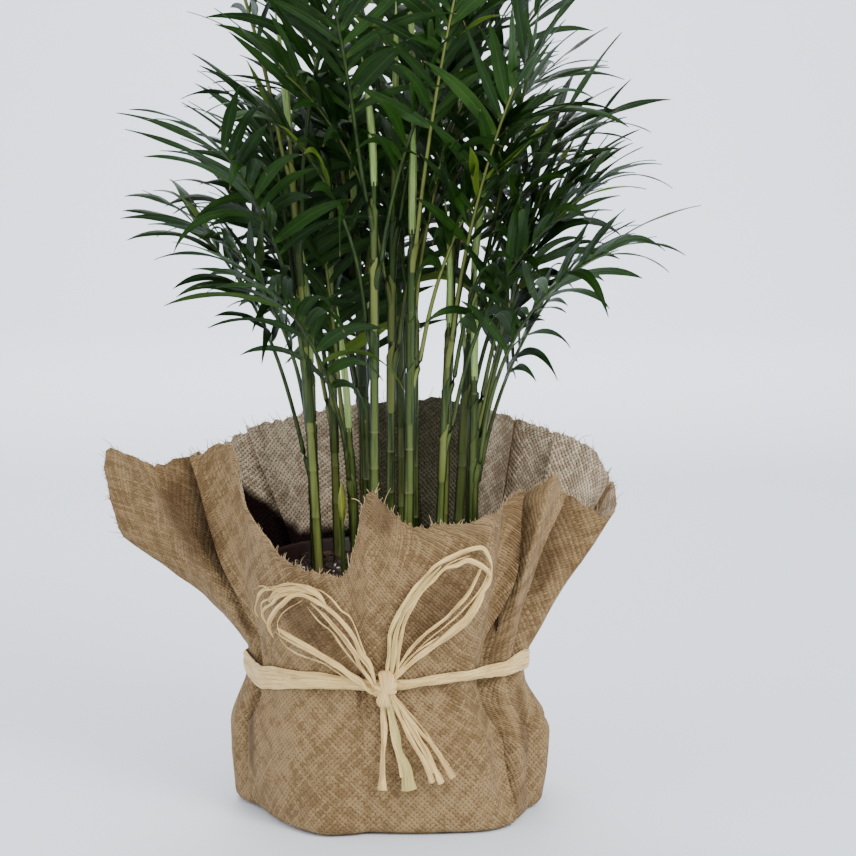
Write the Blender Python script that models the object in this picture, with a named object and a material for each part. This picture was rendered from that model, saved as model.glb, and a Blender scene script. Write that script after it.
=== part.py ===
"""Potted parlor palm: seedlings in a nursery pot, stood in a burlap square that is tied with raffia.

Metres, +Z up. The origin is on the pot's axis where the wrap meets the table. -Y is the front, with the
bow, and +X is its right. Azimuths are degrees round the axis, from 0 at the front to 90 at the right.
"""
import math
import random

import bmesh
import bpy
from mathutils import Matrix, Vector
from mathutils.bvhtree import BVHTree

MM = 0.001
GAP = 0.0003
UP = Vector((0, 0, 1))

# Burlap wrap. The levels are heights, and the cut is one square sheet of 380 mm.
BURLAP_THICKNESS = 0.0016
BASE_EDGE_RADIUS = 0.005
BELLY_Z = 0.036
TIE_Z = 0.066
TIE_HALF_HEIGHT = 0.006
# Each column: tie azimuth, tie radius, belly radius, base radius, then the sheet's edge x, y, z (mm).
WRAP_COLUMNS = [
    (-6, 72, 76, 75, -7, -82, 162),
    (2, 72, 76, 75.5, 4, -79, 150),
    (10, 72, 77, 77, 12, -77, 144),
    (21, 71.5, 79, 80, 27, -75, 145),
    (34, 71, 81, 86, 50, -62, 147),
    (43, 63, 74, 86, 57, -38, 150),
    (51, 69, 81, 81, 79, -36, 160),
    (61, 63, 74, 77, 84, -14, 150),
    (71, 68, 82, 77, 108, -12, 137),
    (83, 64, 74, 73, 110, 8, 150),
    (94, 66, 78, 73, 101, 22, 165),
    (104, 62.5, 73, 72, 89, 34, 169),
    (114, 66, 77, 74, 77, 44, 172),
    (127, 62.5, 73, 78, 61, 61, 176),
    (141, 66, 77, 82, 42, 76, 180),
    (156, 62.5, 73, 78, 18, 84, 182),
    (172, 66, 76, 75, -6, 88, 180),
    (188, 62.5, 73, 75, -28, 84, 178),
    (202, 66, 77, 78, -48, 74, 175),
    (216, 62.5, 73, 82, -70, 56, 171),
    (230, 66, 77, 80, -90, 44, 160),
    (244, 64, 73, 75, -111, 28, 142),
    (258, 68, 77, 72, -128, 3, 123),
    (269, 69, 76, 72, -135, -8, 167),
    (280, 66, 76, 75, -113, -12, 163),
    (290, 60, 69, 73, -94, 0, 166),
    (300, 68, 74, 70, -75, -14, 173),
    (313, 71, 76, 74, -68, -35, 152),
    (327, 73, 79, 80, -49, -60, 136),
    (339, 73, 81, 84, -31, -72, 127),
    (347, 72.5, 78, 80, -19, -79, 124),
    (351, 72, 77, 77, -13, -81, 140),
]
STEPS_PER_COLUMN = 2

# Nursery pot and its soil.
POT_FLOOR_Z = BURLAP_THICKNESS + GAP
POT_TOP_Z = 0.116
POT_BASE_RADIUS = 0.046
POT_BODY_RADIUS = 0.0575
POT_RIM_RADIUS = 0.0605
POT_RIM_HEIGHT = 0.010
POT_WALL = 0.0014
POT_SIDES = 28
DRAIN_HOLES = 5
DRAIN_RADIUS = 0.005
DRAIN_CIRCLE = 0.030
SOIL_TOP_Z = 0.109
SOIL_CROWN = 0.003
SOIL_SHOULDER = (0.6, 0.7)
PLANTING_DEPTH = 0.030
HOLE_CLEARANCE = 0.0012
HOLE_LENGTH = PLANTING_DEPTH * 1.6
HOLE_SIDES = 8

# Raffia.
BAND_HEIGHT = 0.0055
BAND_THICKNESS = 0.0014
STRAND_CLEARANCE = 0.0004
TAIL_HALF_DEPTH = 0.0006
KNOT_REACH = 0.007
KNOT_SIZE = Vector((0.0105, 0.0070, 0.0120))
KNOT_X = -0.001
LOOP_RADIUS = 0.0017
# Loop routes over the front of the wrap, x and z in mm, from the knot out and back to it.
LEFT_LOOP = [(-4, 71), (-13, 84), (-24, 99), (-37, 112), (-50, 115), (-60, 108), (-60, 98), (-48, 88),
             (-30, 80), (-14, 73), (-7.5, 68.5)]
RIGHT_LOOP = [(2.5, 72.5), (4, 88), (9, 106), (18, 121), (31, 131), (43, 134), (49, 128), (46, 117),
              (36, 101), (23, 87), (12, 76), (6.5, 70)]
# Tails: half width and the route in mm, from the knot down.
TAILS = [
    (1.1, [(-3.4, 59.5), (-3.2, 48), (-2.4, 34), (-1.6, 20)]),
    (2.0, [(0.6, 59), (3.6, 47), (7, 34), (10.5, 20)]),
    (1.0, [(3.6, 59.5), (9, 50), (16, 38), (22, 26)]),
    (1.0, [(5.0, 61), (12, 52.5), (20, 41), (27, 27)]),
    (1.1, [(6.0, 63), (15, 55), (25, 43), (33.5, 29)]),
]

# Seedlings: x and y in the soil (mm), crown height (mm) and the azimuths of the fronds, lowest first.
SEEDLINGS = [
    (-31, -20, 318, (303, 205, 40, 275)),
    (-15, -4, 180, (294, 205)),
    (-9, 20, 284, (275, 150, 205, 240)),
    (1, -17, 322, (66, 285, 80, 215)),
    (12, 3, 346, (300, 84, 160, 70)),
    (22, -25, 232, (80, 110, 50)),
    (25, 17, 330, (84, 112, 70, 90)),
    (31, -7, 256, (76, 122, 55)),
    (38, 10, 184, (92, 130, 62)),
    (-24, 20, 236, (262, 200, 150)),
    (6, 33, 262, (170, 130, 215)),
    (-34, 3, 212, (228, 290, 170)),
    (9, -34, 276, (84, 130, 40)),
    (-12, 36, 216, (195, 235, 160)),
    (38, -19, 206, (46, 118, 90)),
    (-6, -36, 298, (250, 100, 318)),
]
CANE_RADIUS = 0.0029
CANE_TAPER = 0.55
CANE_SIDES = 6
CANE_LEAN = 1.43
LEAN_DRAW = 0.012
BEND_DRAW = 0.004
SPEAR_LENGTH = 0.060
SPEAR_SHOULDER = 0.45
FROND_SPACING = 0.13
TOP_FROND_BELOW = 0.008
FROND_HEIGHT_DRAW = 0.006
SHEATH_HEIGHT = 0.005
STALK_FOOT = 0.004
FOOT_SHARE = 0.6
PETIOLE_LENGTH = (0.032, 0.056)
RACHIS_LENGTH = (0.056, 0.080)
STALK_CLEARANCE = 0.0012
STALK_RISE = 0.003
TILT_START = (5, 11)
TILT_END_YOUNG = (12, 34)
TILT_END_OLD = (40, 74)
FROND_SWAY = 18
AZIMUTH_DRAW = 14
LEAFLET_PLACES = 11
PAIRS_HERE = (0, 3, 5, 8, 10)
PETIOLE_HALF = 0.0013
RACHIS_TIP_HALF = 0.0007
LEAFLET_ROOT = 0.0026
AWAY = 54
AWAY_LOST = 14
AWAY_LOST_AT_TIP = 14
AWAY_DRAW = 13
RAISED = (0, 40)
DROOP_YOUNG = (0, 45)
DROOP_OLD = (20, 92)
LOW_DROOP = 1.3
DROOP_LOST = 0.55
TWIST = 38
LEAFLET_LENGTH = (0.041, 0.064)
LEAFLET_WIDTH = (0.0038, 0.0066)
LEAFLET_THICKNESS = 0.0009
LEAFLET_RINGS = (0.30, 0.66)
LEAF_FLOOR_Z = 0.178
MOUTH_Z = 0.135
MOUTH_RADIUS = 0.035
MOUTH_SLOPE = 0.025
LEAST_AWAY = math.radians(22)
MOST_RAISED = math.radians(38)
MARGIN = 0.0006
NECK_SHARE = 0.30
ROOT_ASIDE = 0.03
STEP = 0.002
TRIES = 12
SEED = 41

COLOURS = {
    "burlap": ((0.40, 0.27, 0.15, 1), 0.95),
    "raffia": ((0.70, 0.56, 0.32, 1), 0.6),
    "pot": ((0.10, 0.035, 0.025, 1), 0.5),
    "soil": ((0.035, 0.018, 0.014, 1), 0.95),
    "palm": ((0.045, 0.16, 0.03, 1), 0.45),
}


def outward(azimuth):
    """The level unit vector that points to an azimuth, in degrees."""
    angle = math.radians(azimuth)
    return Vector((math.sin(angle), -math.cos(angle), 0))


def material(kind):
    """The Principled material of one kind, made once."""
    found = bpy.data.materials.get(kind)
    if found:
        return found
    colour, roughness = COLOURS[kind]
    made = bpy.data.materials.new(kind)
    made.use_nodes = True
    shader = made.node_tree.nodes["Principled BSDF"]
    shader.inputs["Base Color"].default_value = colour
    shader.inputs["Roughness"].default_value = roughness
    shader.inputs["Metallic"].default_value = 0
    return made


def finish(name, bm, kind, smooth=True, closed=True):
    """Turn a bmesh into a scene object with a material of its kind. A closed one's faces point out."""
    if closed:
        bmesh.ops.recalc_face_normals(bm, faces=bm.faces)
    mesh = bpy.data.meshes.new(name)
    bm.to_mesh(mesh)
    bm.free()
    mesh.materials.append(material(kind))
    if smooth:
        mesh.shade_smooth()
        mesh.set_sharp_from_angle(angle=math.radians(40))
    made = bpy.data.objects.new(name, mesh)
    bpy.context.scene.collection.objects.link(made)
    return made


def apply_modifiers(target):
    """Replace an object's mesh by what its modifiers make of it."""
    graph = bpy.context.evaluated_depsgraph_get()
    result = bpy.data.meshes.new_from_object(target.evaluated_get(graph))
    target.modifiers.clear()
    target.data = result


def cut(target, cutter):
    """Take one object's volume out of another, and drop the cutter."""
    change = target.modifiers.new("cut", "BOOLEAN")
    change.operation = "DIFFERENCE"
    change.object = cutter
    apply_modifiers(target)
    bpy.data.objects.remove(cutter)


def curve_value(values, place):
    """A closed Catmull-Rom curve through equally spaced values."""
    count = len(values)
    index = math.floor(place)
    t = place - index
    a, b, c, d = (values[(index + k) % count] for k in (-1, 0, 1, 2))
    return b + 0.5 * t * (c - a + t * (2 * a - 5 * b + 4 * c - d + t * (3 * (b - c) + d - a)))


def wrap_column(place):
    """The sizes of the wrap at one place round it: azimuth, three radii and the edge point."""
    count = len(WRAP_COLUMNS)
    turns = math.floor(place / count)
    offsets = [row[0] - 360 * i / count for i, row in enumerate(WRAP_COLUMNS)]
    azimuth = curve_value(offsets, place) + 360 * (place - turns * count) / count
    tie, belly, base, x, y, z = (curve_value([row[k] for row in WRAP_COLUMNS], place) * MM
                                 for k in range(1, 7))
    return azimuth, tie, belly, base, Vector((x, y, z))


# The wrap's levels: shares of its floor, heights of its wall, then shares of its flare.
WRAP_LEVELS = [("floor", 0.45), ("floor", 1.0), ("wall", 0.005), ("wall", 0.020), ("wall", BELLY_Z),
               ("wall", 0.052), ("wall", TIE_Z - TIE_HALF_HEIGHT), ("wall", TIE_Z + TIE_HALF_HEIGHT),
               ("flare", 0.35), ("flare", 0.70), ("flare", 1.0)]


def wrap_point(place, level):
    """A point of the wrap's outer face, at a place round it and a level up it."""
    azimuth, tie, belly, base, edge = wrap_column(place)
    kind, value = level
    direction = outward(azimuth)
    if kind == "floor":
        return direction * (base - BASE_EDGE_RADIUS) * value
    if kind == "wall":
        if value < BELLY_Z:
            share = math.sin(0.5 * math.pi * value / BELLY_Z)
            radius = base + (belly - base) * share
        else:
            share = min(1.0, (value - BELLY_Z) / (TIE_Z - TIE_HALF_HEIGHT - BELLY_Z))
            radius = belly + (tie - belly) * share * share * (3 - 2 * share)
        return direction * radius + UP * value
    start = direction * tie + UP * (TIE_Z + TIE_HALF_HEIGHT)
    return start.lerp(edge, value)


def build_wrap():
    """The burlap square, gathered round the pot: one thin shell from its floor to its cut edge."""
    bm = bmesh.new()
    count = len(WRAP_COLUMNS) * STEPS_PER_COLUMN
    rings = [[bm.verts.new(wrap_point(i / STEPS_PER_COLUMN, level)) for i in range(count)]
             for level in WRAP_LEVELS]
    centre = bm.verts.new((0, 0, 0))
    for i in range(count):
        j = (i + 1) % count
        bm.faces.new((centre, rings[0][j], rings[0][i]))
        for low, high in zip(rings, rings[1:]):
            bm.faces.new((low[i], low[j], high[j]))
            bm.faces.new((low[i], high[j], high[i]))
    wrap = finish("burlap_wrap", bm, "burlap", closed=False)
    shell = wrap.modifiers.new("thickness", "SOLIDIFY")
    shell.thickness = BURLAP_THICKNESS
    shell.offset = -1
    apply_modifiers(wrap)
    return wrap


def turned(name, profile, sides, kind):
    """A closed round body from its profile, radius and height, bottom centre to top centre."""
    bm = bmesh.new()
    rings = []
    for radius, height in profile:
        if radius == 0:
            rings.append([bm.verts.new((0, 0, height))])
        else:
            rings.append([bm.verts.new(outward(360 * i / sides) * radius + UP * height)
                          for i in range(sides)])
    for low, high in zip(rings, rings[1:]):
        for i in range(sides):
            j = (i + 1) % sides
            if len(low) == 1:
                bm.faces.new((low[0], high[i], high[j]))
            elif len(high) == 1:
                bm.faces.new((low[i], low[j], high[0]))
            else:
                bm.faces.new((low[i], low[j], high[j], high[i]))
    return finish(name, bm, kind)


def prism(radius, sides, low, high):
    """A plain upright or leaning prism between two points, as a cutter."""
    axis = (high - low).normalized()
    turn = UP.rotation_difference(axis).to_matrix().to_4x4()
    bm = bmesh.new()
    middle = Matrix.Translation((low + high) / 2)
    bmesh.ops.create_cone(bm, cap_ends=True, segments=sides, radius1=radius, radius2=radius,
                          depth=(high - low).length, matrix=middle @ turn)
    return finish("cutter", bm, "pot", smooth=False)


def pot_radius(height):
    """The pot's outer radius at a height, under its rim."""
    share = (height - POT_FLOOR_Z) / (POT_TOP_Z - POT_FLOOR_Z)
    return POT_BASE_RADIUS + (POT_BODY_RADIUS - POT_BASE_RADIUS) * share


def build_pot():
    """The tapered nursery pot, open at the top, with a rim and drain holes."""
    rim_z = POT_TOP_Z - POT_RIM_HEIGHT
    inner_floor = POT_FLOOR_Z + POT_WALL
    profile = [
        (0, POT_FLOOR_Z),
        (POT_BASE_RADIUS, POT_FLOOR_Z),
        (pot_radius(rim_z), rim_z),
        (POT_RIM_RADIUS, rim_z + POT_WALL),
        (POT_RIM_RADIUS, POT_TOP_Z),
        (pot_radius(POT_TOP_Z) - POT_WALL, POT_TOP_Z),
        (pot_radius(inner_floor) - POT_WALL, inner_floor),
        (0, inner_floor),
    ]
    pot = turned("nursery_pot", profile, POT_SIDES, "pot")
    for i in range(DRAIN_HOLES):
        place = outward(360 * i / DRAIN_HOLES) * DRAIN_CIRCLE
        low = place + UP * (POT_FLOOR_Z - POT_WALL)
        cut(pot, prism(DRAIN_RADIUS, HOLE_SIDES, low, low + UP * 3 * POT_WALL))


def build_soil(canes):
    """The soil that fills the pot, with a plain hole for each cane."""
    low = POT_FLOOR_Z + POT_WALL + GAP
    top = pot_radius(SOIL_TOP_Z) - POT_WALL - GAP
    profile = [
        (0, low),
        (pot_radius(low) - POT_WALL - GAP, low),
        (top, SOIL_TOP_Z),
        (top * SOIL_SHOULDER[0], SOIL_TOP_Z + SOIL_CROWN * SOIL_SHOULDER[1]),
        (0, SOIL_TOP_Z + SOIL_CROWN),
    ]
    soil = turned("soil", profile, POT_SIDES, "soil")
    for cane in canes:
        foot = cane_point(cane, -GAP)
        above = cane_point(cane, HOLE_LENGTH)
        cut(soil, prism(cane["radius"] + HOLE_CLEARANCE, HOLE_SIDES, foot, above))


def tube(bm, points, half_width, half_depth, sides, face=None):
    """A closed tube along a route, its width level or square to a given face direction."""
    rings = []
    for i, point in enumerate(points):
        ahead = (points[min(i + 1, len(points) - 1)] - points[max(i - 1, 0)]).normalized()
        depth = (face or UP).cross(ahead).cross(ahead).normalized()
        width = depth.cross(ahead)
        rings.append([bm.verts.new(point + width * half_width * math.cos(2 * math.pi * k / sides)
                                   + depth * half_depth * math.sin(2 * math.pi * k / sides))
                      for k in range(sides)])
    for low, high in zip(rings, rings[1:]):
        for k in range(sides):
            j = (k + 1) % sides
            bm.faces.new((low[k], low[j], high[j]))
            bm.faces.new((low[k], high[j], high[k]))
    bm.faces.new(rings[0])
    bm.faces.new(rings[-1])


def build_band():
    """The raffia band round the wrap at its waist. It bridges the folds under it."""
    count = len(WRAP_COLUMNS) * STEPS_PER_COLUMN
    outer = []
    for i in range(count):
        azimuth, radius, _, _, _ = wrap_column(i / STEPS_PER_COLUMN)
        outer.append(outward(azimuth) * radius)
    bridged = []
    for i in range(count):
        chord = (outer[i - 1] + outer[(i + 1) % count]) / 2
        bridged.append(max(outer[i], chord, key=lambda point: point.length))
    bm = bmesh.new()
    rings = []
    for place in bridged:
        way = place.normalized()
        inner = place + way * (GAP * 2)
        outer_face = inner + way * BAND_THICKNESS
        low = UP * (TIE_Z - BAND_HEIGHT / 2)
        high = UP * (TIE_Z + BAND_HEIGHT / 2)
        rings.append([bm.verts.new(point) for point in
                      (inner + low, outer_face + low, outer_face + high, inner + high)])
    for i, ring in enumerate(rings):
        following = rings[(i + 1) % count]
        for k in range(4):
            j = (k + 1) % 4
            bm.faces.new((ring[k], ring[j], following[j]))
            bm.faces.new((ring[k], following[j], following[k]))
    finish("raffia_band", bm, "raffia")


def knot_centre():
    """The middle of the knot, in front of the band."""
    front = wrap_column(len(WRAP_COLUMNS) - 0.25)[1]
    return Vector((KNOT_X, -(front + GAP * 4 + BAND_THICKNESS + KNOT_SIZE.y / 2 * 0.8), TIE_Z))


def build_knot():
    """The knot: a small rounded lump, flat where it lies on the band."""
    bm = bmesh.new()
    bmesh.ops.create_icosphere(bm, subdivisions=2, radius=0.5)
    for vert in bm.verts:
        vert.co = Vector((vert.co.x * KNOT_SIZE.x, min(vert.co.y, 0.4) * KNOT_SIZE.y,
                          vert.co.z * KNOT_SIZE.z)) + knot_centre()
    finish("raffia_knot", bm, "raffia")


def smooth_route(points, per_span):
    """A Catmull-Rom curve through a route's points, with its ends kept."""
    padded = [points[0] * 2 - points[1]] + points + [points[-1] * 2 - points[-2]]
    found = []
    for a, b, c, d in zip(padded, padded[1:], padded[2:], padded[3:]):
        for k in range(per_span):
            t = k / per_span
            found.append(b + 0.5 * t * (c - a + t * (2 * a - 5 * b + 4 * c - d
                                                     + t * (3 * (b - c) + d - a))))
    found.append(points[-1])
    return found


def on_wrap(surface, route, clearance, reach):
    """Lay an x, z route on the front of the wrap. Near the knot it leaves from the knot's middle."""
    knot = knot_centre()
    points = []
    for place in smooth_route([Vector((x, 0, z)) * MM for x, z in route], 2):
        depth = 1.0
        for dx in (-reach, 0, reach):
            for dz in (-reach, 0, reach):
                start = place + Vector((dx, -0.3, dz))
                depth = min(depth, surface.ray_cast(start, Vector((0, 1, 0)))[0].y)
        near = (place - Vector((knot.x, 0, knot.z))).length
        share = max(0.0, min(1.0, (near - KNOT_REACH) / KNOT_REACH))
        points.append(place + Vector((0, min(depth - clearance, knot.y + (depth - knot.y) * share), 0)))
    for _ in range(2):
        inner = [(a + b * 2 + c) / 4 for a, b, c in zip(points, points[1:], points[2:])]
        depths = [min(point.y, old.y) for point, old in zip(inner, points[1:])]
        for point, depth in zip(points[1:], depths):
            point.y = depth
    return points


def build_bow(wrap):
    """The bow's two loops and its tails, which lie on the front of the wrap and meet the knot."""
    mesh = wrap.data
    surface = BVHTree.FromPolygons([v.co for v in mesh.vertices], [p.vertices for p in mesh.polygons])
    face = Vector((0, 1, 0))
    for name, route in (("raffia_loop_left", LEFT_LOOP), ("raffia_loop_right", RIGHT_LOOP)):
        points = on_wrap(surface, route, LOOP_RADIUS + STRAND_CLEARANCE, LOOP_RADIUS)
        bm = bmesh.new()
        tube(bm, points, LOOP_RADIUS, LOOP_RADIUS * 0.8, 5, face)
        finish(name, bm, "raffia")
    for i, (half_width, route) in enumerate(TAILS):
        points = on_wrap(surface, route, TAIL_HALF_DEPTH + STRAND_CLEARANCE, half_width * MM)
        bm = bmesh.new()
        tube(bm, points, half_width * MM, TAIL_HALF_DEPTH, 4, face)
        finish(f"raffia_tail_{i + 1}", bm, "raffia")


def cane_point(cane, height):
    """A point on a cane's axis, at a distance up from its foot in the soil."""
    rise = height / cane["length"]
    return cane["foot"] + cane["axis"] * height + cane["bend"] * rise * rise


def cane_radius(cane, height):
    """The cane's radius, which tapers towards the crown."""
    return cane["radius"] * (1 - CANE_TAPER * max(0.0, height) / cane["length"])


def plan_cane(row, rng):
    """One seedling's cane, which leans a little away from the pot's middle."""
    x, y, crown, _ = row
    lean = Vector((x, y, 0)) * MM * CANE_LEAN
    lean += Vector((rng.uniform(-1, 1), rng.uniform(-1, 1), 0)) * LEAN_DRAW
    axis = (UP + lean).normalized()
    foot = Vector((x, y, 0)) * MM + UP * (SOIL_TOP_Z - PLANTING_DEPTH)
    bend = Vector((rng.uniform(-1, 1), rng.uniform(-1, 1), 0)) * BEND_DRAW
    radius = CANE_RADIUS * rng.uniform(0.8, 1.08)
    return {"foot": foot, "axis": axis, "bend": bend, "radius": radius,
            "length": (crown * MM - foot.z) / axis.z, "turn": rng.uniform(0, 60)}


def frame_at(path, distance):
    """Position, direction, side and upper normal on a path of evenly stepped points."""
    place = min(max(distance / STEP, 0.0), len(path) - 1.001)
    index = int(place)
    point = path[index].lerp(path[index + 1], place - index)
    ahead = (path[min(index + 2, len(path) - 1)] - path[max(index - 1, 0)]).normalized()
    side = ahead.cross(UP).normalized()
    return point, ahead, side, side.cross(ahead)


def aged(young, old, age, rng):
    """A random number from a range that shifts with a frond's age, from 0 for the newest to 1."""
    return rng.uniform(*[a + (b - a) * age for a, b in zip(young, old)])


def plan_frond(cane, height, azimuth, age, rng, turn):
    """One frond's axis: up beside the cane, then arching out towards its azimuth, older ones further."""
    petiole = rng.uniform(*PETIOLE_LENGTH)
    rachis = rng.uniform(*RACHIS_LENGTH)
    tilt_start = math.radians(rng.uniform(*TILT_START))
    tilt_end = math.radians(aged(TILT_END_YOUNG, TILT_END_OLD, age, rng))
    sway = rng.uniform(-FROND_SWAY, FROND_SWAY)
    azimuth += rng.uniform(-AZIMUTH_DRAW, AZIMUTH_DRAW) + turn
    faces = [cane["turn"] + 360 / CANE_SIDES * k for k in range(CANE_SIDES)]
    face = min(faces, key=lambda angle: abs((angle - azimuth + 180) % 360 - 180))
    swing = (azimuth - face + 180) % 360 - 180
    reach = cane_radius(cane, height) + PETIOLE_HALF + STALK_CLEARANCE
    point = cane_point(cane, height) + outward(face) * reach + UP * STALK_RISE
    path = [point]
    length = petiole + rachis
    for k in range(int(length / STEP) + 2):
        share = k * STEP / length
        level = outward(face + swing * min(1.0, share * 4) + sway * share)
        tilt = tilt_start + (tilt_end - tilt_start) * share ** 1.35
        point = point + (cane["axis"] * math.cos(tilt) + level * math.sin(tilt)) * STEP
        path.append(point)
    return {"path": path, "petiole": petiole, "rachis": rachis, "height": height, "face": face,
            "age": age}


def half_size(frond, distance):
    """Half the thickness of a frond's stalk, from its foot to its tip."""
    share = min(1.0, distance / (frond["petiole"] + frond["rachis"]))
    return PETIOLE_HALF + (RACHIS_TIP_HALF - PETIOLE_HALF) * share


def stalk_ring(frond, distance, margin=0.0):
    """The three corners of a frond's stalk: left, right and upper."""
    point, _, side, normal = frame_at(frond["path"], distance)
    half = half_size(frond, distance) + margin
    return [point + side * half - normal * half * 0.6, point - side * half - normal * half * 0.6,
            point + normal * half]


def blade_width(share):
    """How wide a leaflet is along its length, as a share of its widest."""
    return math.sin(math.pi * (0.02 + 0.98 * share) ** 0.72) ** 0.8


def plan_leaflet(frond, pair, side_sign, rng, attempt):
    """One leaflet: its root on the rachis, then a lance-shaped blade that arches under its weight."""
    share = pair / (LEAFLET_PLACES - 1)
    distance = leaf_distance(frond, pair)
    point, ahead, side, normal = frame_at(frond["path"], distance + LEAFLET_ROOT / 2)
    away = AWAY - AWAY_LOST * share - AWAY_LOST_AT_TIP * share ** 4
    away = math.radians(away + rng.uniform(-AWAY_DRAW, AWAY_DRAW))
    raised = math.radians(rng.uniform(*RAISED))
    droop = math.radians(aged(DROOP_YOUNG, DROOP_OLD, frond["age"], rng))
    droop *= LOW_DROOP - DROOP_LOST * share
    twist = math.radians(rng.uniform(-TWIST, TWIST))
    full = 0.72 + 0.28 * math.sin(math.pi * (0.18 + 0.62 * share))
    length = rng.uniform(*LEAFLET_LENGTH) * full
    width = rng.uniform(*LEAFLET_WIDTH)
    away = max(away + math.radians(4) * ((attempt * 2 + 1) % 5 - 2) * min(attempt, 1), LEAST_AWAY)
    raised += math.radians(9) * ((attempt * 3 + 1) % 7 - 3) * min(attempt, 1)
    raised = max(-MOST_RAISED / 2, min(MOST_RAISED, raised))
    length *= 1 - 0.035 * attempt
    heading = (ahead * math.cos(away) + (side * side_sign * math.cos(raised)
                                         + normal * math.sin(raised)) * math.sin(away)).normalized()
    blade_side = (ahead - heading * ahead.dot(heading)).normalized()
    blade_normal = blade_side.cross(heading)
    if blade_normal.dot(normal) < 0:
        blade_normal = -blade_normal
    root = point + side * side_sign * half_size(frond, distance) * 0.6
    return {"root": root, "heading": heading, "side": blade_side, "normal": blade_normal,
            "length": length, "width": width, "droop": droop, "twist": twist,
            "frond": frond, "pair": pair, "sign": side_sign}


def leaf_distance(frond, pair):
    """How far along a frond's path a pair of leaflets has its root."""
    usable = frond["rachis"] - LEAFLET_ROOT - 0.001
    return frond["petiole"] + usable * pair / (LEAFLET_PLACES - 1)


def stalk_distances(frond):
    """Where a frond's stalk has its sections: three on the petiole, then two at each pair of leaflets."""
    found = [STALK_FOOT, frond["petiole"] * 0.35, frond["petiole"] * 0.7]
    for pair in PAIRS_HERE:
        found += [leaf_distance(frond, pair), leaf_distance(frond, pair) + LEAFLET_ROOT]
    return found


def blade_frames(leaf, shares, steps=12):
    """Centre, side, normal and half width of a leaflet's blade at shares of its length."""
    bend_axis = leaf["heading"].cross(UP)
    if bend_axis.length < 0.05:
        bend_axis = leaf["side"].copy()
    bend_axis.normalize()
    points = [leaf["root"]]
    for k in range(steps):
        turn = Matrix.Rotation(-leaf["droop"] * ((k + 0.5) / steps) ** 1.2, 3, bend_axis)
        points.append(points[-1] + turn @ leaf["heading"] * (leaf["length"] / steps))
    frames = []
    for share in shares:
        place = min(share * steps, steps - 0.0001)
        index = int(place)
        centre = points[index].lerp(points[index + 1], place - index)
        turn = Matrix.Rotation(-leaf["droop"] * share ** 1.2, 3, bend_axis)
        heading = turn @ leaf["heading"]
        roll = Matrix.Rotation(leaf["twist"] * share, 3, heading)
        half = leaf["width"] / 2 * blade_width(share)
        frames.append((centre, roll @ turn @ leaf["side"], roll @ turn @ leaf["normal"], half))
    return frames


def blade_ring(frame, margin=0.0):
    """The three corners of a blade's section: front edge, back edge and keel."""
    centre, side, normal, half = frame
    low = centre - normal * margin
    return [low + side * (half + margin), low - side * (half + margin),
            centre + normal * (LEAFLET_THICKNESS + margin)]


def search_entry(points, faces):
    """A shape's lowest and highest corners and its search tree."""
    low = [min(point[axis] for point in points) for axis in range(3)]
    high = [max(point[axis] for point in points) for axis in range(3)]
    return low, high, BVHTree.FromPolygons(points, faces)


def side_faces(first, following):
    """The six triangles between two rings of three corners, by the numbers of their first corners."""
    faces = []
    for k in range(3):
        j = (k + 1) % 3
        faces.append((first + k, first + j, following + j))
        faces.append((first + k, following + j, following + k))
    return faces


def prism_entry(rings):
    """The search entry of a three-sided prism through a list of rings."""
    points = [corner for ring in rings for corner in ring]
    last = len(points) - 3
    faces = [(0, 1, 2), (last, last + 1, last + 2)]
    for first in range(0, last, 3):
        faces += side_faces(first, first + 3)
    return search_entry(points, faces)


# A root's four corners (lower front, lower back, upper front, upper back) joined to the first ring.
ROOT_FACES = [(0, 1, 5), (0, 5, 4), (1, 3, 6), (1, 6, 5), (2, 0, 4), (2, 4, 6), (3, 2, 6)]


def blade_faces():
    """A leaflet's triangles: its root, the stretches between its rings, and its tip."""
    faces = list(ROOT_FACES)
    first = 4
    for _ in LEAFLET_RINGS[1:]:
        faces += side_faces(first, first + 3)
        first += 3
    tip = first + 3
    return faces + [(first + k, first + (k + 1) % 3, tip) for k in range(3)]


def blade_corners(leaf, margin=0.0):
    """A leaflet's corners past its root: its rings, then its tip."""
    frames = blade_frames(leaf, LEAFLET_RINGS + (1.0,))
    corners = [corner for frame in frames[:-1] for corner in blade_ring(frame, margin)]
    tip, _, normal, _ = frames[-1]
    return corners + [tip + normal * margin]


def root_corners(leaf):
    """The four corners of the stalk's side face that a leaflet grows out of."""
    distance = leaf_distance(leaf["frond"], leaf["pair"])
    low = stalk_ring(leaf["frond"], distance)
    high = stalk_ring(leaf["frond"], distance + LEAFLET_ROOT)
    corner = 0 if leaf["sign"] > 0 else 1
    return [high[corner], low[corner], high[2], low[2]]


def crosses(trial, grown, skip=None):
    """Whether a trial prism touches anything grown so far."""
    low, high, tree = trial
    for other_low, other_high, other, owner in grown:
        if owner is skip:
            continue
        if any(low[a] > other_high[a] or high[a] < other_low[a] for a in range(3)):
            continue
        if tree.overlap(other):
            return True
    return False


def cane_rings(cane, margin):
    """Three-cornered sections round a cane, as its keep-out for the search."""
    rings = []
    for k in range(6):
        height = (cane["length"] + SPEAR_LENGTH) * k / 5
        centre = cane_point(cane, height)
        size = (cane_radius(cane, min(height, cane["length"])) + margin) * 2
        rings.append([centre + outward(120 * j) * size for j in range(3)])
    return rings


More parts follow.
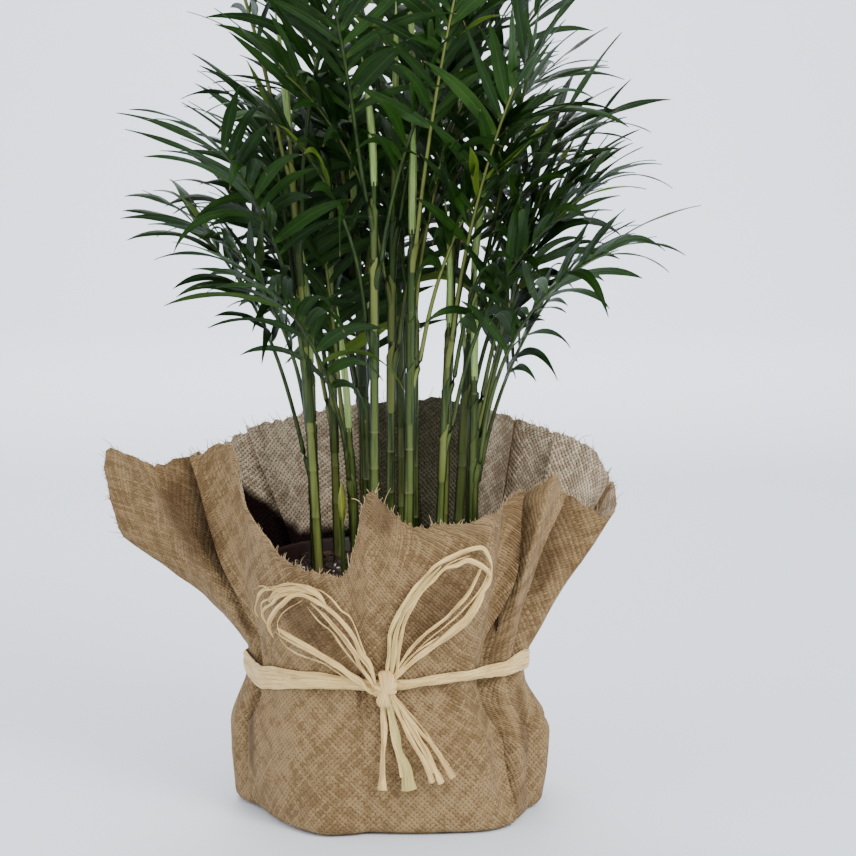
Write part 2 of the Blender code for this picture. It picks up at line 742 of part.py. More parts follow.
def plan_palm():
    """Every seedling with its fronds and leaflets, each kept clear of all the others."""
    grown = []
    seedlings = []
    for number, row in enumerate(SEEDLINGS):
        rng = random.Random(SEED + number)
        cane = plan_cane(row, rng)
        seedlings.append({"cane": cane, "fronds": [], "rng": rng, "azimuths": row[3]})
        grown.append(prism_entry(cane_rings(cane, MARGIN)) + (cane,))
    for seedling in seedlings:
        grow_fronds(seedling, grown)
    for pair in PAIRS_HERE:
        for seedling in seedlings:
            for frond in seedling["fronds"]:
                for side_sign in (1, -1):
                    grow_leaflet(frond, pair, side_sign, seedling["rng"], grown)
    return seedlings


def grow_fronds(seedling, grown):
    """Each frond's stalk, turned a little where that is what it takes to be clear of everything."""
    cane, rng = seedling["cane"], seedling["rng"]
    own = [entry for entry in grown if entry[3] is cane]
    last = len(seedling["azimuths"]) - 1
    for k, azimuth in enumerate(seedling["azimuths"]):
        below = (last - k) * FROND_SPACING * cane["length"] + TOP_FROND_BELOW
        height = cane["length"] - below - rng.uniform(0, FROND_HEIGHT_DRAW)
        age = (last - k) / last
        draw = rng.random()
        for attempt in range(16):
            turn = 9 * (attempt // 2 + attempt % 2) * (1 if attempt % 2 else -1)
            frond = plan_frond(cane, height, azimuth, age, random.Random(draw), turn)
            rings = [stalk_ring(frond, distance, MARGIN) for distance in stalk_distances(frond)]
            base = cane_point(cane, height - SHEATH_HEIGHT / 2)
            foot = [corner.lerp(base, FOOT_SHARE) for corner in rings[0]]
            stalk = prism_entry([foot] + rings)
            if not crosses(stalk, grown, skip=cane) and not crosses(prism_entry(rings[1:]), own):
                frond["stalk"] = stalk + (frond,)
                frond["leaflets"] = []
                grown.append(frond["stalk"])
                seedling["fronds"].append(frond)
                break


def leaf_floor(point):
    """How low a leaflet may hang: clear of the wrap's edge, and lower in the middle of its mouth."""
    share = min(1.0, max(0.0, Vector((point.x, point.y)).length - MOUTH_RADIUS) / MOUTH_SLOPE)
    return MOUTH_Z + (LEAF_FLOOR_Z - MOUTH_Z) * share


def grow_leaflet(frond, pair, side_sign, rng, grown):
    """Try a leaflet in a few attitudes, and keep the first that is clear of everything."""
    draw = rng.random()
    for attempt in range(TRIES):
        leaf = plan_leaflet(frond, pair, side_sign, random.Random(draw), attempt)
        frames = blade_frames(leaf, LEAFLET_RINGS + (1.0,))
        if any(frame[0].z < leaf_floor(frame[0]) for frame in frames):
            continue
        root = root_corners(leaf)
        aside = (root[0] - root[2]) * ROOT_ASIDE
        root[2:] = [corner + aside for corner in root[2:]]
        true, swelled = blade_corners(leaf), blade_corners(leaf, MARGIN)
        neck = [a.lerp(b, NECK_SHARE) for a, b in zip(root, (true[0], true[1], true[2], true[2]))]
        shapes = [search_entry(root + corners, blade_faces()) for corners in (true, swelled)]
        beyond = search_entry(neck + true, blade_faces())
        if crosses(beyond, [frond["stalk"]]) or any(crosses(shape, grown, skip=frond) for shape in shapes):
            continue
        grown += [shape + (leaf,) for shape in shapes]
        frond["leaflets"].append(leaf)
        return


def build_leaflet(bm, leaf, low_ring, high_ring):
    """A leaflet's blade, grown out of the side face between two rings of its stalk."""
    corner = 0 if leaf["sign"] > 0 else 1
    verts = [high_ring[corner], low_ring[corner], high_ring[2], low_ring[2]]
    verts += [bm.verts.new(place) for place in blade_corners(leaf)]
    for face in blade_faces():
        bm.faces.new([verts[k] for k in face])


def build_frond(bm, frond, root):
    """A frond's stalk and leaflets, grown out of a side face of the cane, given as four corners."""
    leaves = {(leaf["pair"], leaf["sign"]): leaf for leaf in frond["leaflets"]}
    rings = [[bm.verts.new(corner) for corner in stalk_ring(frond, distance)]
             for distance in stalk_distances(frond)]
    side = frame_at(frond["path"], STALK_FOOT)[2]
    lower = sorted(root[:2], key=lambda vert: -vert.co.dot(side))
    upper = sorted(root[2:], key=lambda vert: -vert.co.dot(side))
    verts = lower + upper + rings[0]
    for face in ROOT_FACES:
        bm.faces.new([verts[k] for k in face])
    for i, (low, high) in enumerate(zip(rings, rings[1:])):
        place, rest = divmod(i - 3, 2)
        for sign, corner in ((1, 0), (-1, 1)):
            leaf = leaves.get((PAIRS_HERE[place], sign)) if rest == 0 and place >= 0 else None
            if leaf:
                build_leaflet(bm, leaf, low, high)
            else:
                bm.faces.new((low[corner], low[2], high[2]))
                bm.faces.new((low[corner], high[2], high[corner]))
        bm.faces.new((low[0], low[1], high[1]))
        bm.faces.new((low[0], high[1], high[0]))
    bm.faces.new(rings[-1])


def build_seedling(number, seedling):
    """One grown piece: the cane with its spear, and every frond joined to it."""
    cane = seedling["cane"]
    fronds = sorted(seedling["fronds"], key=lambda frond: frond["height"])
    heights = [0.0]
    for frond in fronds:
        heights += [frond["height"] - SHEATH_HEIGHT / 2, frond["height"] + SHEATH_HEIGHT / 2]
    heights.append(cane["length"] + SPEAR_LENGTH * SPEAR_SHOULDER)
    bm = bmesh.new()
    rings = []
    for height in heights:
        centre = cane_point(cane, height)
        radius = cane_radius(cane, height)
        rings.append([bm.verts.new(centre + outward(cane["turn"] + 360 / CANE_SIDES * (k - 0.5)) * radius)
                      for k in range(CANE_SIDES)])
    for i, (low, high) in enumerate(zip(rings, rings[1:])):
        level, rest = divmod(i - 1, 2)
        frond = fronds[level] if rest == 0 and 0 <= level < len(fronds) else None
        for k in range(CANE_SIDES):
            j = (k + 1) % CANE_SIDES
            face = cane["turn"] + 360 / CANE_SIDES * k
            if frond and abs(face - frond["face"]) < 1:
                build_frond(bm, frond, (low[k], low[j], high[k], high[j]))
            else:
                bm.faces.new((low[k], low[j], high[j]))
                bm.faces.new((low[k], high[j], high[k]))
    bm.faces.new(rings[0])
    tip = bm.verts.new(cane_point(cane, cane["length"] + SPEAR_LENGTH))
    for k in range(CANE_SIDES):
        bm.faces.new((rings[-1][k], rings[-1][(k + 1) % CANE_SIDES], tip))
    finish(f"leafy_stem_{number + 1}", bm, "palm")


def main():
    for old in list(bpy.data.objects):
        bpy.data.objects.remove(old)
    seedlings = plan_palm()
    wrap = build_wrap()
    build_pot()
    build_soil([seedling["cane"] for seedling in seedlings])
    build_band()
    build_knot()
    build_bow(wrap)
    for number, seedling in enumerate(seedlings):
        build_seedling(number, seedling)


main()
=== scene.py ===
"""Potted parlor palm, dressed: fine foliage, canes, soil, pot, gathered burlap and a raffia bow.

Metres, +Z up, in the solids' own frame. The origin is on the pot's axis where the wrap meets the table,
-Y is the front, with the bow, and +X is its right. Azimuths are degrees from 0 at the front to 90 at the
right. Noise scales are per metre.
"""
import math
import random

import bmesh
import bpy
from mathutils import Matrix, Vector, geometry, noise
from mathutils.bvhtree import BVHTree

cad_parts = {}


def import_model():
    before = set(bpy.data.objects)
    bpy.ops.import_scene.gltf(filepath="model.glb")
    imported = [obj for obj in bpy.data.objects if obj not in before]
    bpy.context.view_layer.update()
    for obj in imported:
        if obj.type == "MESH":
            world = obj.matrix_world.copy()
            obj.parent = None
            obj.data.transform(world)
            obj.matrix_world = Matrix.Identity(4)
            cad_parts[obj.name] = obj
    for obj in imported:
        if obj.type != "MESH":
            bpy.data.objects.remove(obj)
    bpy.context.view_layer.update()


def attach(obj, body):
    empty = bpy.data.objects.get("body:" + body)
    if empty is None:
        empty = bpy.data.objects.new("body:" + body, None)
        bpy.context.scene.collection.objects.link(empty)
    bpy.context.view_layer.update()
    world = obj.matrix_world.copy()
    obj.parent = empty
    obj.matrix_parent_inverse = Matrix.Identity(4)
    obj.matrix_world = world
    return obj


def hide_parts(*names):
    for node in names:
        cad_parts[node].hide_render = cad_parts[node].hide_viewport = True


MM = 0.001
UP = Vector((0, 0, 1))

# Camera and floor. The photo looks slightly down at the bow, from the front.
CAMERA_PLACE = (0.019, -1.178, 0.338)
CAMERA_DOWN = 7.7
CAMERA_LENS = 104.3
FLOOR_HALF = 30.0
FLOOR_BELOW = 0.0002
COVE_START = 2.4
COVE_RADIUS = 1.6
COVE_TOP = 7.0
COVE_STEPS = 24

# The palm, as its solids were planned.
SOIL_TOP_Z = 0.109
PLANTING_DEPTH = 0.030

# Seedlings: x and y in the soil (mm), crown height (mm) and the azimuths of the fronds, lowest first.
SEEDLINGS = [
    (-31, -20, 318, (303, 205, 40, 275)),
    (-15, -4, 180, (294, 205)),
    (-9, 20, 284, (275, 150, 205, 240)),
    (1, -17, 322, (66, 285, 80, 215)),
    (12, 3, 346, (300, 84, 160, 70)),
    (22, -25, 232, (80, 110, 50)),
    (25, 17, 330, (84, 112, 70, 90)),
    (31, -7, 256, (76, 122, 55)),
    (38, 10, 184, (92, 130, 62)),
    (-24, 20, 236, (262, 200, 150)),
    (6, 33, 262, (170, 130, 215)),
    (-34, 3, 212, (228, 290, 170)),
    (9, -34, 276, (84, 130, 40)),
    (-12, 36, 216, (195, 235, 160)),
    (38, -19, 206, (46, 118, 90)),
    (-6, -36, 298, (250, 100, 318)),
]
CANE_RADIUS = 0.0029
CANE_SIZES = (0.8, 1.08)
CANE_TAPER = 0.55
CANE_SIDES = 6
CANE_KEEP_OUTS = 5
CANE_LEAN = 1.43
LEAN_DRAW = 0.012
BEND_DRAW = 0.004
SPEAR_LENGTH = 0.060
FROND_SPACING = 0.13
TOP_FROND_BELOW = 0.008
FROND_HEIGHT_DRAW = 0.006
SHEATH_HEIGHT = 0.005
STALK_FOOT = 0.004
FOOT_SHARE = 0.6
PETIOLE_LENGTH = (0.032, 0.056)
RACHIS_LENGTH = (0.056, 0.080)
STALK_CLEARANCE = 0.0012
STALK_RISE = 0.003
TILT_START = (5, 11)
TILT_END_YOUNG = (12, 34)
TILT_END_OLD = (40, 74)
TILT_POWER = 1.35
SWING_RATE = 4
FROND_SWAY = 18
FROND_TURN = 9
FROND_TRIES = 16
AZIMUTH_DRAW = 14
LEAFLET_PLACES = 11
PAIRS_HERE = (0, 3, 5, 8, 10)
PETIOLE_HALF = 0.0013
PETIOLE_SECTIONS = (0.35, 0.7)
RACHIS_TIP_HALF = 0.0007
RACHIS_END = 0.001
STALK_FLATNESS = 0.6
ROOT_REACH = 0.6
LEAFLET_ROOT = 0.0026
AWAY = 54
AWAY_LOST = 14
AWAY_LOST_AT_TIP = 14
AWAY_DRAW = 13
RAISED = (0, 40)
DROOP_YOUNG = (0, 45)
DROOP_OLD = (20, 92)
LOW_DROOP = 1.3
DROOP_LOST = 0.55
DROOP_POWER = 1.2
TWIST = 38
LEAFLET_LENGTH = (0.041, 0.064)
LEAFLET_WIDTH = (0.0038, 0.0066)
# A leaflet's length along its rachis: least share, swell, and where on a sine the swell starts and ends.
LENGTH_LEAST = 0.72
LENGTH_SWELL = 0.28
LENGTH_START = 0.18
LENGTH_RUN = 0.62
# A leaflet's width along its blade: the share that it starts at, and two powers that round it.
WIDTH_START = 0.02
WIDTH_WIDEST = 0.72
WIDTH_FULLNESS = 0.8
LEAFLET_THICKNESS = 0.0009
LEAFLET_RINGS = (0.30, 0.66)
LEAF_FLOOR_Z = 0.178
MOUTH_Z = 0.135
MOUTH_RADIUS = 0.035
MOUTH_SLOPE = 0.025
LEAST_AWAY = math.radians(22)
MOST_RAISED = math.radians(38)
# What each try changes: the angle away from the rachis, the rise and the length.
AWAY_TRY = math.radians(4)
RAISED_TRY = math.radians(9)
SHORTER_TRY = 0.035
MARGIN = 0.0006
NECK_SHARE = 0.30
ROOT_ASIDE = 0.03
STEP = 0.002
TRIES = 12
SEED = 41
# What is taken off a path's count of points and a blade's count of steps, to read short of the last point.
PATH_END = 1.001
BLADE_END = 0.0001
# A blade whose heading has less of a level part than this bends about its own side instead.
LEAST_LEVEL = 0.05

# Fine foliage.
LOOKS_SEED = 500
PAIRS_ADDED = (1, 2, 4, 6, 7, 9)
BLADE_STEPS = 14
BLADE_ACROSS = [-1.0, -0.66, -0.33, 0.0, 0.33, 0.66, 1.0]
BLADE_THICKNESS = 0.0003
BLADE_FOLD = 0.20
BLADE_PLEAT = 0.022
BLADE_WAVE = 0.0005
BLADE_WAVES = 9
BLADE_TIP_HALF = 0.00012
BLADE_SICKLE = (-0.02, 0.08)
BLADE_DARK = (0.0018, 0.0150, 0.0005, 1)
BLADE_BRIGHT = (0.019, 0.062, 0.0030, 1)
BLADE_MOTTLE = (0.0085, 0.035, 0.0014, 1)
BLADE_YELLOW = (0.090, 0.15, 0.012, 1)
BLADE_MIDRIB = (0.045, 0.10, 0.014, 1)
BLADE_DRY = (0.16, 0.11, 0.05, 1)
# Where each colour starts and is whole: in the mottle's noise, a leaflet's tone, or its place.
MOTTLE_SCALE = 60.0
MOTTLE_ENDS = (0.35, 0.75)
YELLOW_ENDS = (0.955, 0.985)
MIDRIB_ENDS = (0.11, 0.02)
MIDRIB_MOST = 0.6
ROOT_ENDS = (0.09, 0.0)
TIP_ENDS = (0.985, 1.02)
TIP_UNEVEN = 0.06
VEINS_ACROSS = 38.0
VEIN_HEIGHT = 0.35
GRAIN_HEIGHT = 0.5
BLADE_GRAIN = (6.0, 40.0, 9.0)
BLADE_BUMP = 0.00012
STALK_SIDES = 8
CANE_ROUND = 12
STALK_STEP = 0.004
# A stalk's root in its sheath: how far below its foot, how far off the cane, and its half size.
STALK_ROOT = [(0.014, -0.0012, 0.0016), (0.006, -0.0002, 0.0021), (0.001, 0.0012, 0.0019)]
STALK_PALE = (0.105, 0.135, 0.028, 1)
STALK_GREEN = (0.028, 0.056, 0.007, 1)
STALK_STREAK = (0.009, 0.022, 0.002, 1)
STALK_YELLOW = (0.20, 0.225, 0.050, 1)
# The painted shade on the stalks' sides seen edge-on.
STALK_EDGE_SHADE = (0.005, 0.014, 0.0015, 1)
STALK_RING = (0.15, 0.14, 0.055, 1)
STALK_FOOT_COLOUR = (0.12, 0.075, 0.035, 1)
# Where each colour starts and is whole: in height, in the streaks' noise, in tone, and in facing for the
# painted shade on the sides seen edge-on.
STALK_STREAKS = (520.0, 520.0, 22.0)
PALE_ENDS = (0.0, 0.20)
STREAK_ENDS = (0.40, 0.68)
YELLOWED_ENDS = (0.5, 1.0)
YELLOWED_MOST = 0.75
RING_MOST = 0.75
FOOT_ENDS = (0.028, 0.012)
FOOT_UNEVEN = 0.03
EDGE_SHADE_ENDS = (0.10, 0.55)
STALK_DEPTH = 0.85
ROOT_DEPTH = 0.8
STALK_BUMP = 0.00025
CANE_STEP = 0.008
SCAR_START = 0.004
SCAR_SPACING = (0.016, 0.027)
SCAR_HALF = 0.0006
SCAR_PROUD = 0.00025
SHEATH_LENGTH = (0.020, 0.030)
SHEATH_SLANT = 0.004
SHEATH_RING = 0.35
# Along a sheath: the share of its length and how proud of the cane it is.
SHEATH_PROFILE = [(0.0, 0.00005), (0.04, 0.0004), (0.5, 0.0005), (0.85, 0.0006), (1.0, 0.0008), (1.02, 0.0)]
SPEAR_STEPS = 12
SPEAR_SIDES = 10
SPEAR_CREASE = 0.72
SPEAR_BEND = 0.006
SPEAR_SUNK = 0.002
SPEAR_BULGE = 0.35
SPEAR_TIP = 0.0002
LEAF_LINES = (1400.0, 1400.0, 30.0)
LINE_ENDS = (0.35, 0.65)
LEAF_LINES_BUMP = 0.0002
SPEAR_PALE = (0.36, 0.48, 0.14, 1)
SPEAR_GREEN = (0.20, 0.34, 0.07, 1)

# One young shoot: its foot, its top, the share of its length where its stem ends and its leaf begins, and
# the half widths of both.
SHOOT_FOOT = (-0.0205, -0.0265, 0.104)
SHOOT_TOP = (-0.0215, -0.0300, 0.158)
SHOOT_LEAF_START = 0.62
SHOOT_STEM = 0.0014
SHOOT_LEAF = 0.0021
SHOOT_FLATNESS = 0.35
SHOOT_BLEND = 0.004
SHOOT_STEPS = 16
SHOOT_LIGHT = (0.30, 0.30, 0.035, 1)
SHOOT_DARK = (0.10, 0.14, 0.012, 1)

# Burlap wrap. The columns are those of its solid: tie azimuth, then tie, belly and base radius and the
# cut edge's point (mm).
CLOTH_THICKNESS = 0.0011
BASE_EDGE_RADIUS = 0.005
BELLY_Z = 0.036
TIE_Z = 0.066
TIE_HALF_HEIGHT = 0.006
NECK_Z = TIE_Z + TIE_HALF_HEIGHT
WRAP_COLUMNS = [
    (-6, 72, 76, 75, -7, -82, 162),
    (2, 72, 76, 75.5, 4, -79, 150),
    (10, 72, 77, 77, 12, -77, 144),
    (21, 71.5, 79, 80, 27, -75, 145),
    (34, 71, 81, 86, 50, -62, 147),
    (43, 63, 74, 86, 57, -38, 150),
    (51, 69, 81, 81, 79, -36, 160),
    (61, 63, 74, 77, 84, -14, 150),
    (71, 68, 82, 77, 108, -12, 137),
    (83, 64, 74, 73, 110, 8, 150),
    (94, 66, 78, 73, 101, 22, 165),
    (104, 62.5, 73, 72, 89, 34, 169),
    (114, 66, 77, 74, 77, 44, 172),
    (127, 62.5, 73, 78, 61, 61, 176),
    (141, 66, 77, 82, 42, 76, 180),
    (156, 62.5, 73, 78, 18, 84, 182),
    (172, 66, 76, 75, -6, 88, 180),
    (188, 62.5, 73, 75, -28, 84, 178),
    (202, 66, 77, 78, -48, 74, 175),
    (216, 62.5, 73, 82, -70, 56, 171),
    (230, 66, 77, 80, -90, 44, 160),
    (244, 64, 73, 75, -111, 28, 142),
    (258, 68, 77, 72, -128, 3, 123),
    (269, 69, 76, 72, -135, -8, 167),
    (280, 66, 76, 75, -113, -12, 163),
    (290, 60, 69, 73, -94, 0, 166),
    (300, 68, 74, 70, -75, -14, 173),
    (313, 71, 76, 74, -68, -35, 152),
    (327, 73, 79, 80, -49, -60, 136),
    (339, 73, 81, 84, -31, -72, 127),
    (347, 72.5, 78, 80, -19, -79, 124),
    (351, 72, 77, 77, -13, -81, 140),
]
CLOTH_STEPS = 8
# The sheet's rings under the pot, as shares of its base's radius.
FLOOR_SHARES = (0.25, 0.5, 0.75, 0.92)
BASE_EDGE_STEPS = 5
WALL_STEPS = 26
FLARE_STEPS = 30
# The sheet's directions at a point come from points this many columns and this much height away, the lower
# one no lower than this.
COLUMN_NEAR = 0.05
HEIGHT_NEAR = 0.02
LOWEST_HEIGHT = 0.03
# Pleats. Their sizes are given at these heights: 0 is the base, 1 the neck above the tie and 2 the cut edge.
PLEAT_HEIGHTS = (0.0, 0.5, 0.92, 1.5, 2.0)
# Each pleat: its place among the columns, +1 where the layer before it lies on top and -1 where the one
# after it does, its places and its depths (mm) at those heights, and how many columns it spreads over below
# and above the tie.
PLEATS = [
    (5, 1, (5.2, 5.0, 4.3, 5.4, 5.2), (6, 9, 4, 10, 8), (0.42, 0.8)),
    (7, 1, (6.5, 6.1, 6.0, 6.6, 6.9), (6, 11, 4, 12, 9), (0.38, 0.8)),
    (9, 1, (8.6, 8.5, 8.5, 8.8, 9.0), (4, 7, 4, 7, 5), (0.5, 0.7)),
    (11, -1, (11.1, 11.0, 10.9, 11.0, 11.2), (3, 6, 3, 5, 4), (0.5, 0.8)),
    (13, 1, (13.1, 13.0, 13.0, 12.9, 12.8), (4, 7, 3, 6, 5), (0.6, 0.9)),
    (15, -1, (15.2, 15.1, 15.0, 15.1, 15.3), (3, 5, 3, 4, 3), (0.5, 0.7)),
    (17, 1, (17.3, 17.1, 16.9, 17.0, 17.2), (4, 7, 3, 6, 4), (0.5, 0.9)),
    (19, -1, (18.8, 18.9, 19.0, 19.0, 19.1), (3, 6, 3, 5, 3), (0.5, 0.8)),
    (21, 1, (21.2, 21.1, 21.0, 20.9, 20.8), (4, 8, 3, 7, 6), (0.5, 0.9)),
    (25, -1, (25.9, 25.6, 25.0, 25.0, 25.0), (6, 11, 4, 12, 5), (0.34, 1.2)),
]
# The upper layer stands proud over these columns, and both shift sideways by this share of the depth.
PLEAT_LIP = 0.22
PLEAT_LIP_PROUD = 0.18
PLEAT_REACH = 0.45
# A pleat's spread changes from this height on, over this stretch.
PLEAT_OPENS = 0.9
PLEAT_OPENING = 0.5
# The shade in a pleat: columns hidden by the upper layer for each mm of depth, the columns it fades over,
# its darkest, and how much of it is lost towards the cut edge, where the folds open.
PLEAT_HIDDEN = 0.04
PLEAT_DARK = 0.15
PLEAT_DARKEST = 0.88
PLEAT_FADE = 0.55
# The weave's directions: each panel's first and middle column and its turn in degrees.
PANELS = [(5, 9, 45), (13, 17, 32), (21, 23, 40), (25, 31, 45)]
# The cloth is pushed softly clear of the pot and its rim, over a run below it and a slope above.
POT_CLEAR = 0.0007
POT_SOFT = 0.0020
RIM_RUN = 0.014
RIM_SLOPE = 1.6
# Wrinkles: noise scale and size. They start at the base and are whole from this height on.
WRINKLES = [(22.0, 0.0016), (60.0, 0.0006), (160.0, 0.00022)]
WRINKLES_FULL = 1 / 3
GATHER_DEPTH = 0.0011
GATHER_FADE = 0.020
GATHERS_PER_COLUMN = 2.3
GATHERS_PER_HEIGHT = 1.5
GATHERS_END = 1.6
PINCH_DEPTH = 0.0012
PINCH_HALF = 0.0045
EDGE_RAGGED = 0.0014
EDGE_SHARE = 0.1
# The front corner bends forward over its columns, and the strip beside it back past a crease.
PEAK_FOLD = 0.007
PEAK_DROP = 0.2
PEAK_POWER = 1.3
PEAK_BACK = 0.010
PEAK_PLACES = 1.1
PEAK_CREASE = 0.9
PEAK_FLAP = 2.2
PEAK_START = 1.72
# The cut edge dips at the front left: middle column, the columns it spreads over, its depth and the height
# where it starts.
DIP_PLACE = 27.9
DIP_SPREAD = 1.5
DIP_DEPTH = 0.0085
DIP_START = 1.5
THREAD = 0.0018
# The weave: the share of its height that a thread's round makes and that its crossing adds, and how far
# and how coarsely the threads waver.
THREAD_ROUND = 0.58
THREAD_OVER = 0.42
THREAD_WAVER = 3.4
WARP_ENDS = (-0.05, 0.05)
WAVER_SCALE = 90.0
# Noise scales of the cloth's tones: along and across a thread, patches, slubs and fuzz.
TONE_ALONG = 26.0
TONE_ACROSS = 430.0
PATCH_SCALE = 28.0
SLUB_SCALE = 170.0
FUZZ_SCALE = 2600.0
PATCH_TONE = 0.5
# Where the light colour starts and is whole, where a gap is whole, and the fuzz's part in gaps and bumps.
LIGHT_ENDS = (0.30, 0.68)
GAP_WHOLE = 0.12
GAP_FUZZ = 0.16
BUMP_FUZZ = 0.22
CLOTH_BUMPS = 0.85
FRINGE_STEP = 0.0009
FRINGE_RADIUS = 0.00024
FRINGE_SUNK = 0.001
FRINGE_STEPS = 4
FRINGE_SIDES = 3
FRINGE_THINNER = 0.6
# Frayed threads: up to this share of them, their least and greatest length.
FRINGE_LENGTHS = [(0.74, 0.0010, 0.0026), (0.965, 0.0022, 0.0048), (1.0, 0.005, 0.010)]
# How a frayed thread heads and curls: the curl of one of a given length, how much it hangs, and the ranges
# of its draws aside and outwards.
FRINGE_CURL = 0.75
FRINGE_CURL_LENGTH = 0.006
FRINGE_HANG = 0.15
FRINGE_ASIDE = (-0.7, 0.7)
FRINGE_OUT = (-0.25, 0.35)
FRINGE_CURL_OUT = (-0.6, 0.6)
BURLAP_LIGHT = (0.335, 0.222, 0.109, 1)
BURLAP_DARK = (0.185, 0.114, 0.049, 1)
BURLAP_GAP = (0.085, 0.048, 0.018, 1)
BURLAP_INSIDE = (0.94, 0.76, 0.55, 1)
BURLAP_INSIDE_DARK = (0.52, 0.39, 0.265, 1)
BURLAP_INSIDE_GAP = (0.12, 0.083, 0.052, 1)
FRINGE_COLOUR = (0.60, 0.46, 0.27, 1)
# Painted shade: its colour in the folds and on the front, and the share of it that the inner face takes.
FOLD_SHADE = (0.048, 0.021, 0.006, 1)
INSIDE_FOLDS = 0.4
# The colour of the painted shadow low down inside the wrap.
PAINTED_LOW_SHADOW = (0.014, 0.004, 0.004, 1)
# The cloth's inside has a painted shadow below this height, and higher up from the left on, up to an end. Its
# border is uneven and soft.
LOW_SHADOW_TOP_Z = 0.120
LOW_SHADOW_LEFT_X = -0.045
LOW_SHADOW_RISE = 0.85
LOW_SHADOW_END_X = (-0.090, -0.076)
LOW_SHADOW_UNEVEN = 0.006
LOW_SHADOW_SCALE = 90.0
LOW_SHADOW_BORDER = (0.003, -0.004)
# Its back has painted shade behind the stems: their middle, half their width and its fade, and where the back
# is.
STEMS_X = 0.014
STEMS_HALF = 0.024
STEMS_FADE = 0.014
STEMS_BACK_Y = (0.01, 0.04)
STEMS_DARK = 0.90
STEMS_SHADE = (0.016, 0.022, 0.008, 1)

# Raffia.
BAND_STEPS = 220
BAND_SPAN = 0.0065
BAND_WAVER = 0.0003
BAND_WAVES = 3
# A side of the band's outline that runs straight out from the middle, to within this, is passed over.
LEAST_SLOPE = 1e-9
# Each strand of the band: its share of the spread, half width and stand-off (mm) and tone.
BAND_STRANDS = [(-1.0, 1.5, 0.35, 0.20), (-0.35, 1.8, 0.6, 0.35), (0.3, 1.7, 0.45, 0.1), (1.0, 1.4, 0.7, 0.3),
                (0.05, 0.9, 1.3, 0.45), (0.75, 0.7, 1.5, 0.5), (-0.7, 0.6, 1.2, 0.15)]
# The band's rise and spread in mm, at sixteen equal steps from the front towards +X.
BAND_RISE = (4.4, 6.4, 6.0, 4.8, 3.0, 1.5, 0.5, 0.0, 0.0, 0.0, -0.5, -1.2, -1.6, -2.2, 1.8, 5.0)
BAND_SPREAD = (0.9, 0.6, 1.6, 3.4, 3.4, 3.0, 3.0, 3.0, 3.0, 3.0, 3.2, 3.6, 4.0, 4.2, 3.6, 2.2)
STRAND_SHAKE = 0.0008
STRAND_STEPS = 7
STRAND_REACH = 0.0015
RAY_START = 0.3
STRAND_CLEAR = 0.0009
STRAND_SMOOTHING = 3
RIBBON_ACROSS = [-1.0, -0.5, 0.0, 0.5, 1.0]
RIBBON_THICKNESS = 0.0003
RIBBON_CURL = 0.75
RIBBON_RIPPLE = 0.0005
RIBBON_TWIST = 0.7
RIBBON_UNEVEN = 0.5
RIBBON_TAPER = 0.006
# How often a ribbon twists, changes its width and ripples: per metre, and across it.
TWISTS = 55
UNEVEN_SCALE = 90
RIPPLE_SCALE = 260
RIPPLE_ACROSS = 1.6
LOOP_TIP = 0.25
TAIL_TIP = 1.55
LOOP_LIFT = 0.0032
LIFT_REACH = 0.045
# The knot lies at the front of the band, and the strands leave from its middle.
KNOT_X = -0.0005
KNOT_RISE = 0.0035
KNOT_PLACE = 31.75
KNOT_AWAY = 0.0054
KNOT_REACH = 0.004
KNOT_FADE = 0.011
KNOT_SIZE = (0.0076, 0.0066, 0.0092)
KNOT_UNEVEN = 0.35
KNOT_LUMPS = 7
KNOT_TONE = 0.4
KNOT_STEPS = 40
# A wrap's path waves by this share of its width, and stands off by this share of the knot's depth.
KNOT_WAVE = 0.2
KNOT_DEPTH = 0.52
# Each wrap: its lean, its path's width and half height (m), the strand's half width (mm) and its tone.
KNOT_WRAPS = [(8, 0.004, 0.0066, 2.1, 0.2), (-10, 0.003, 0.0068, 1.7, 0.35), (26, 0.002, 0.0060, 1.2, 0.1),
              (66, 0.001, 0.0048, 1.3, 0.3), (104, 0.001, 0.0046, 1.0, 0.5)]
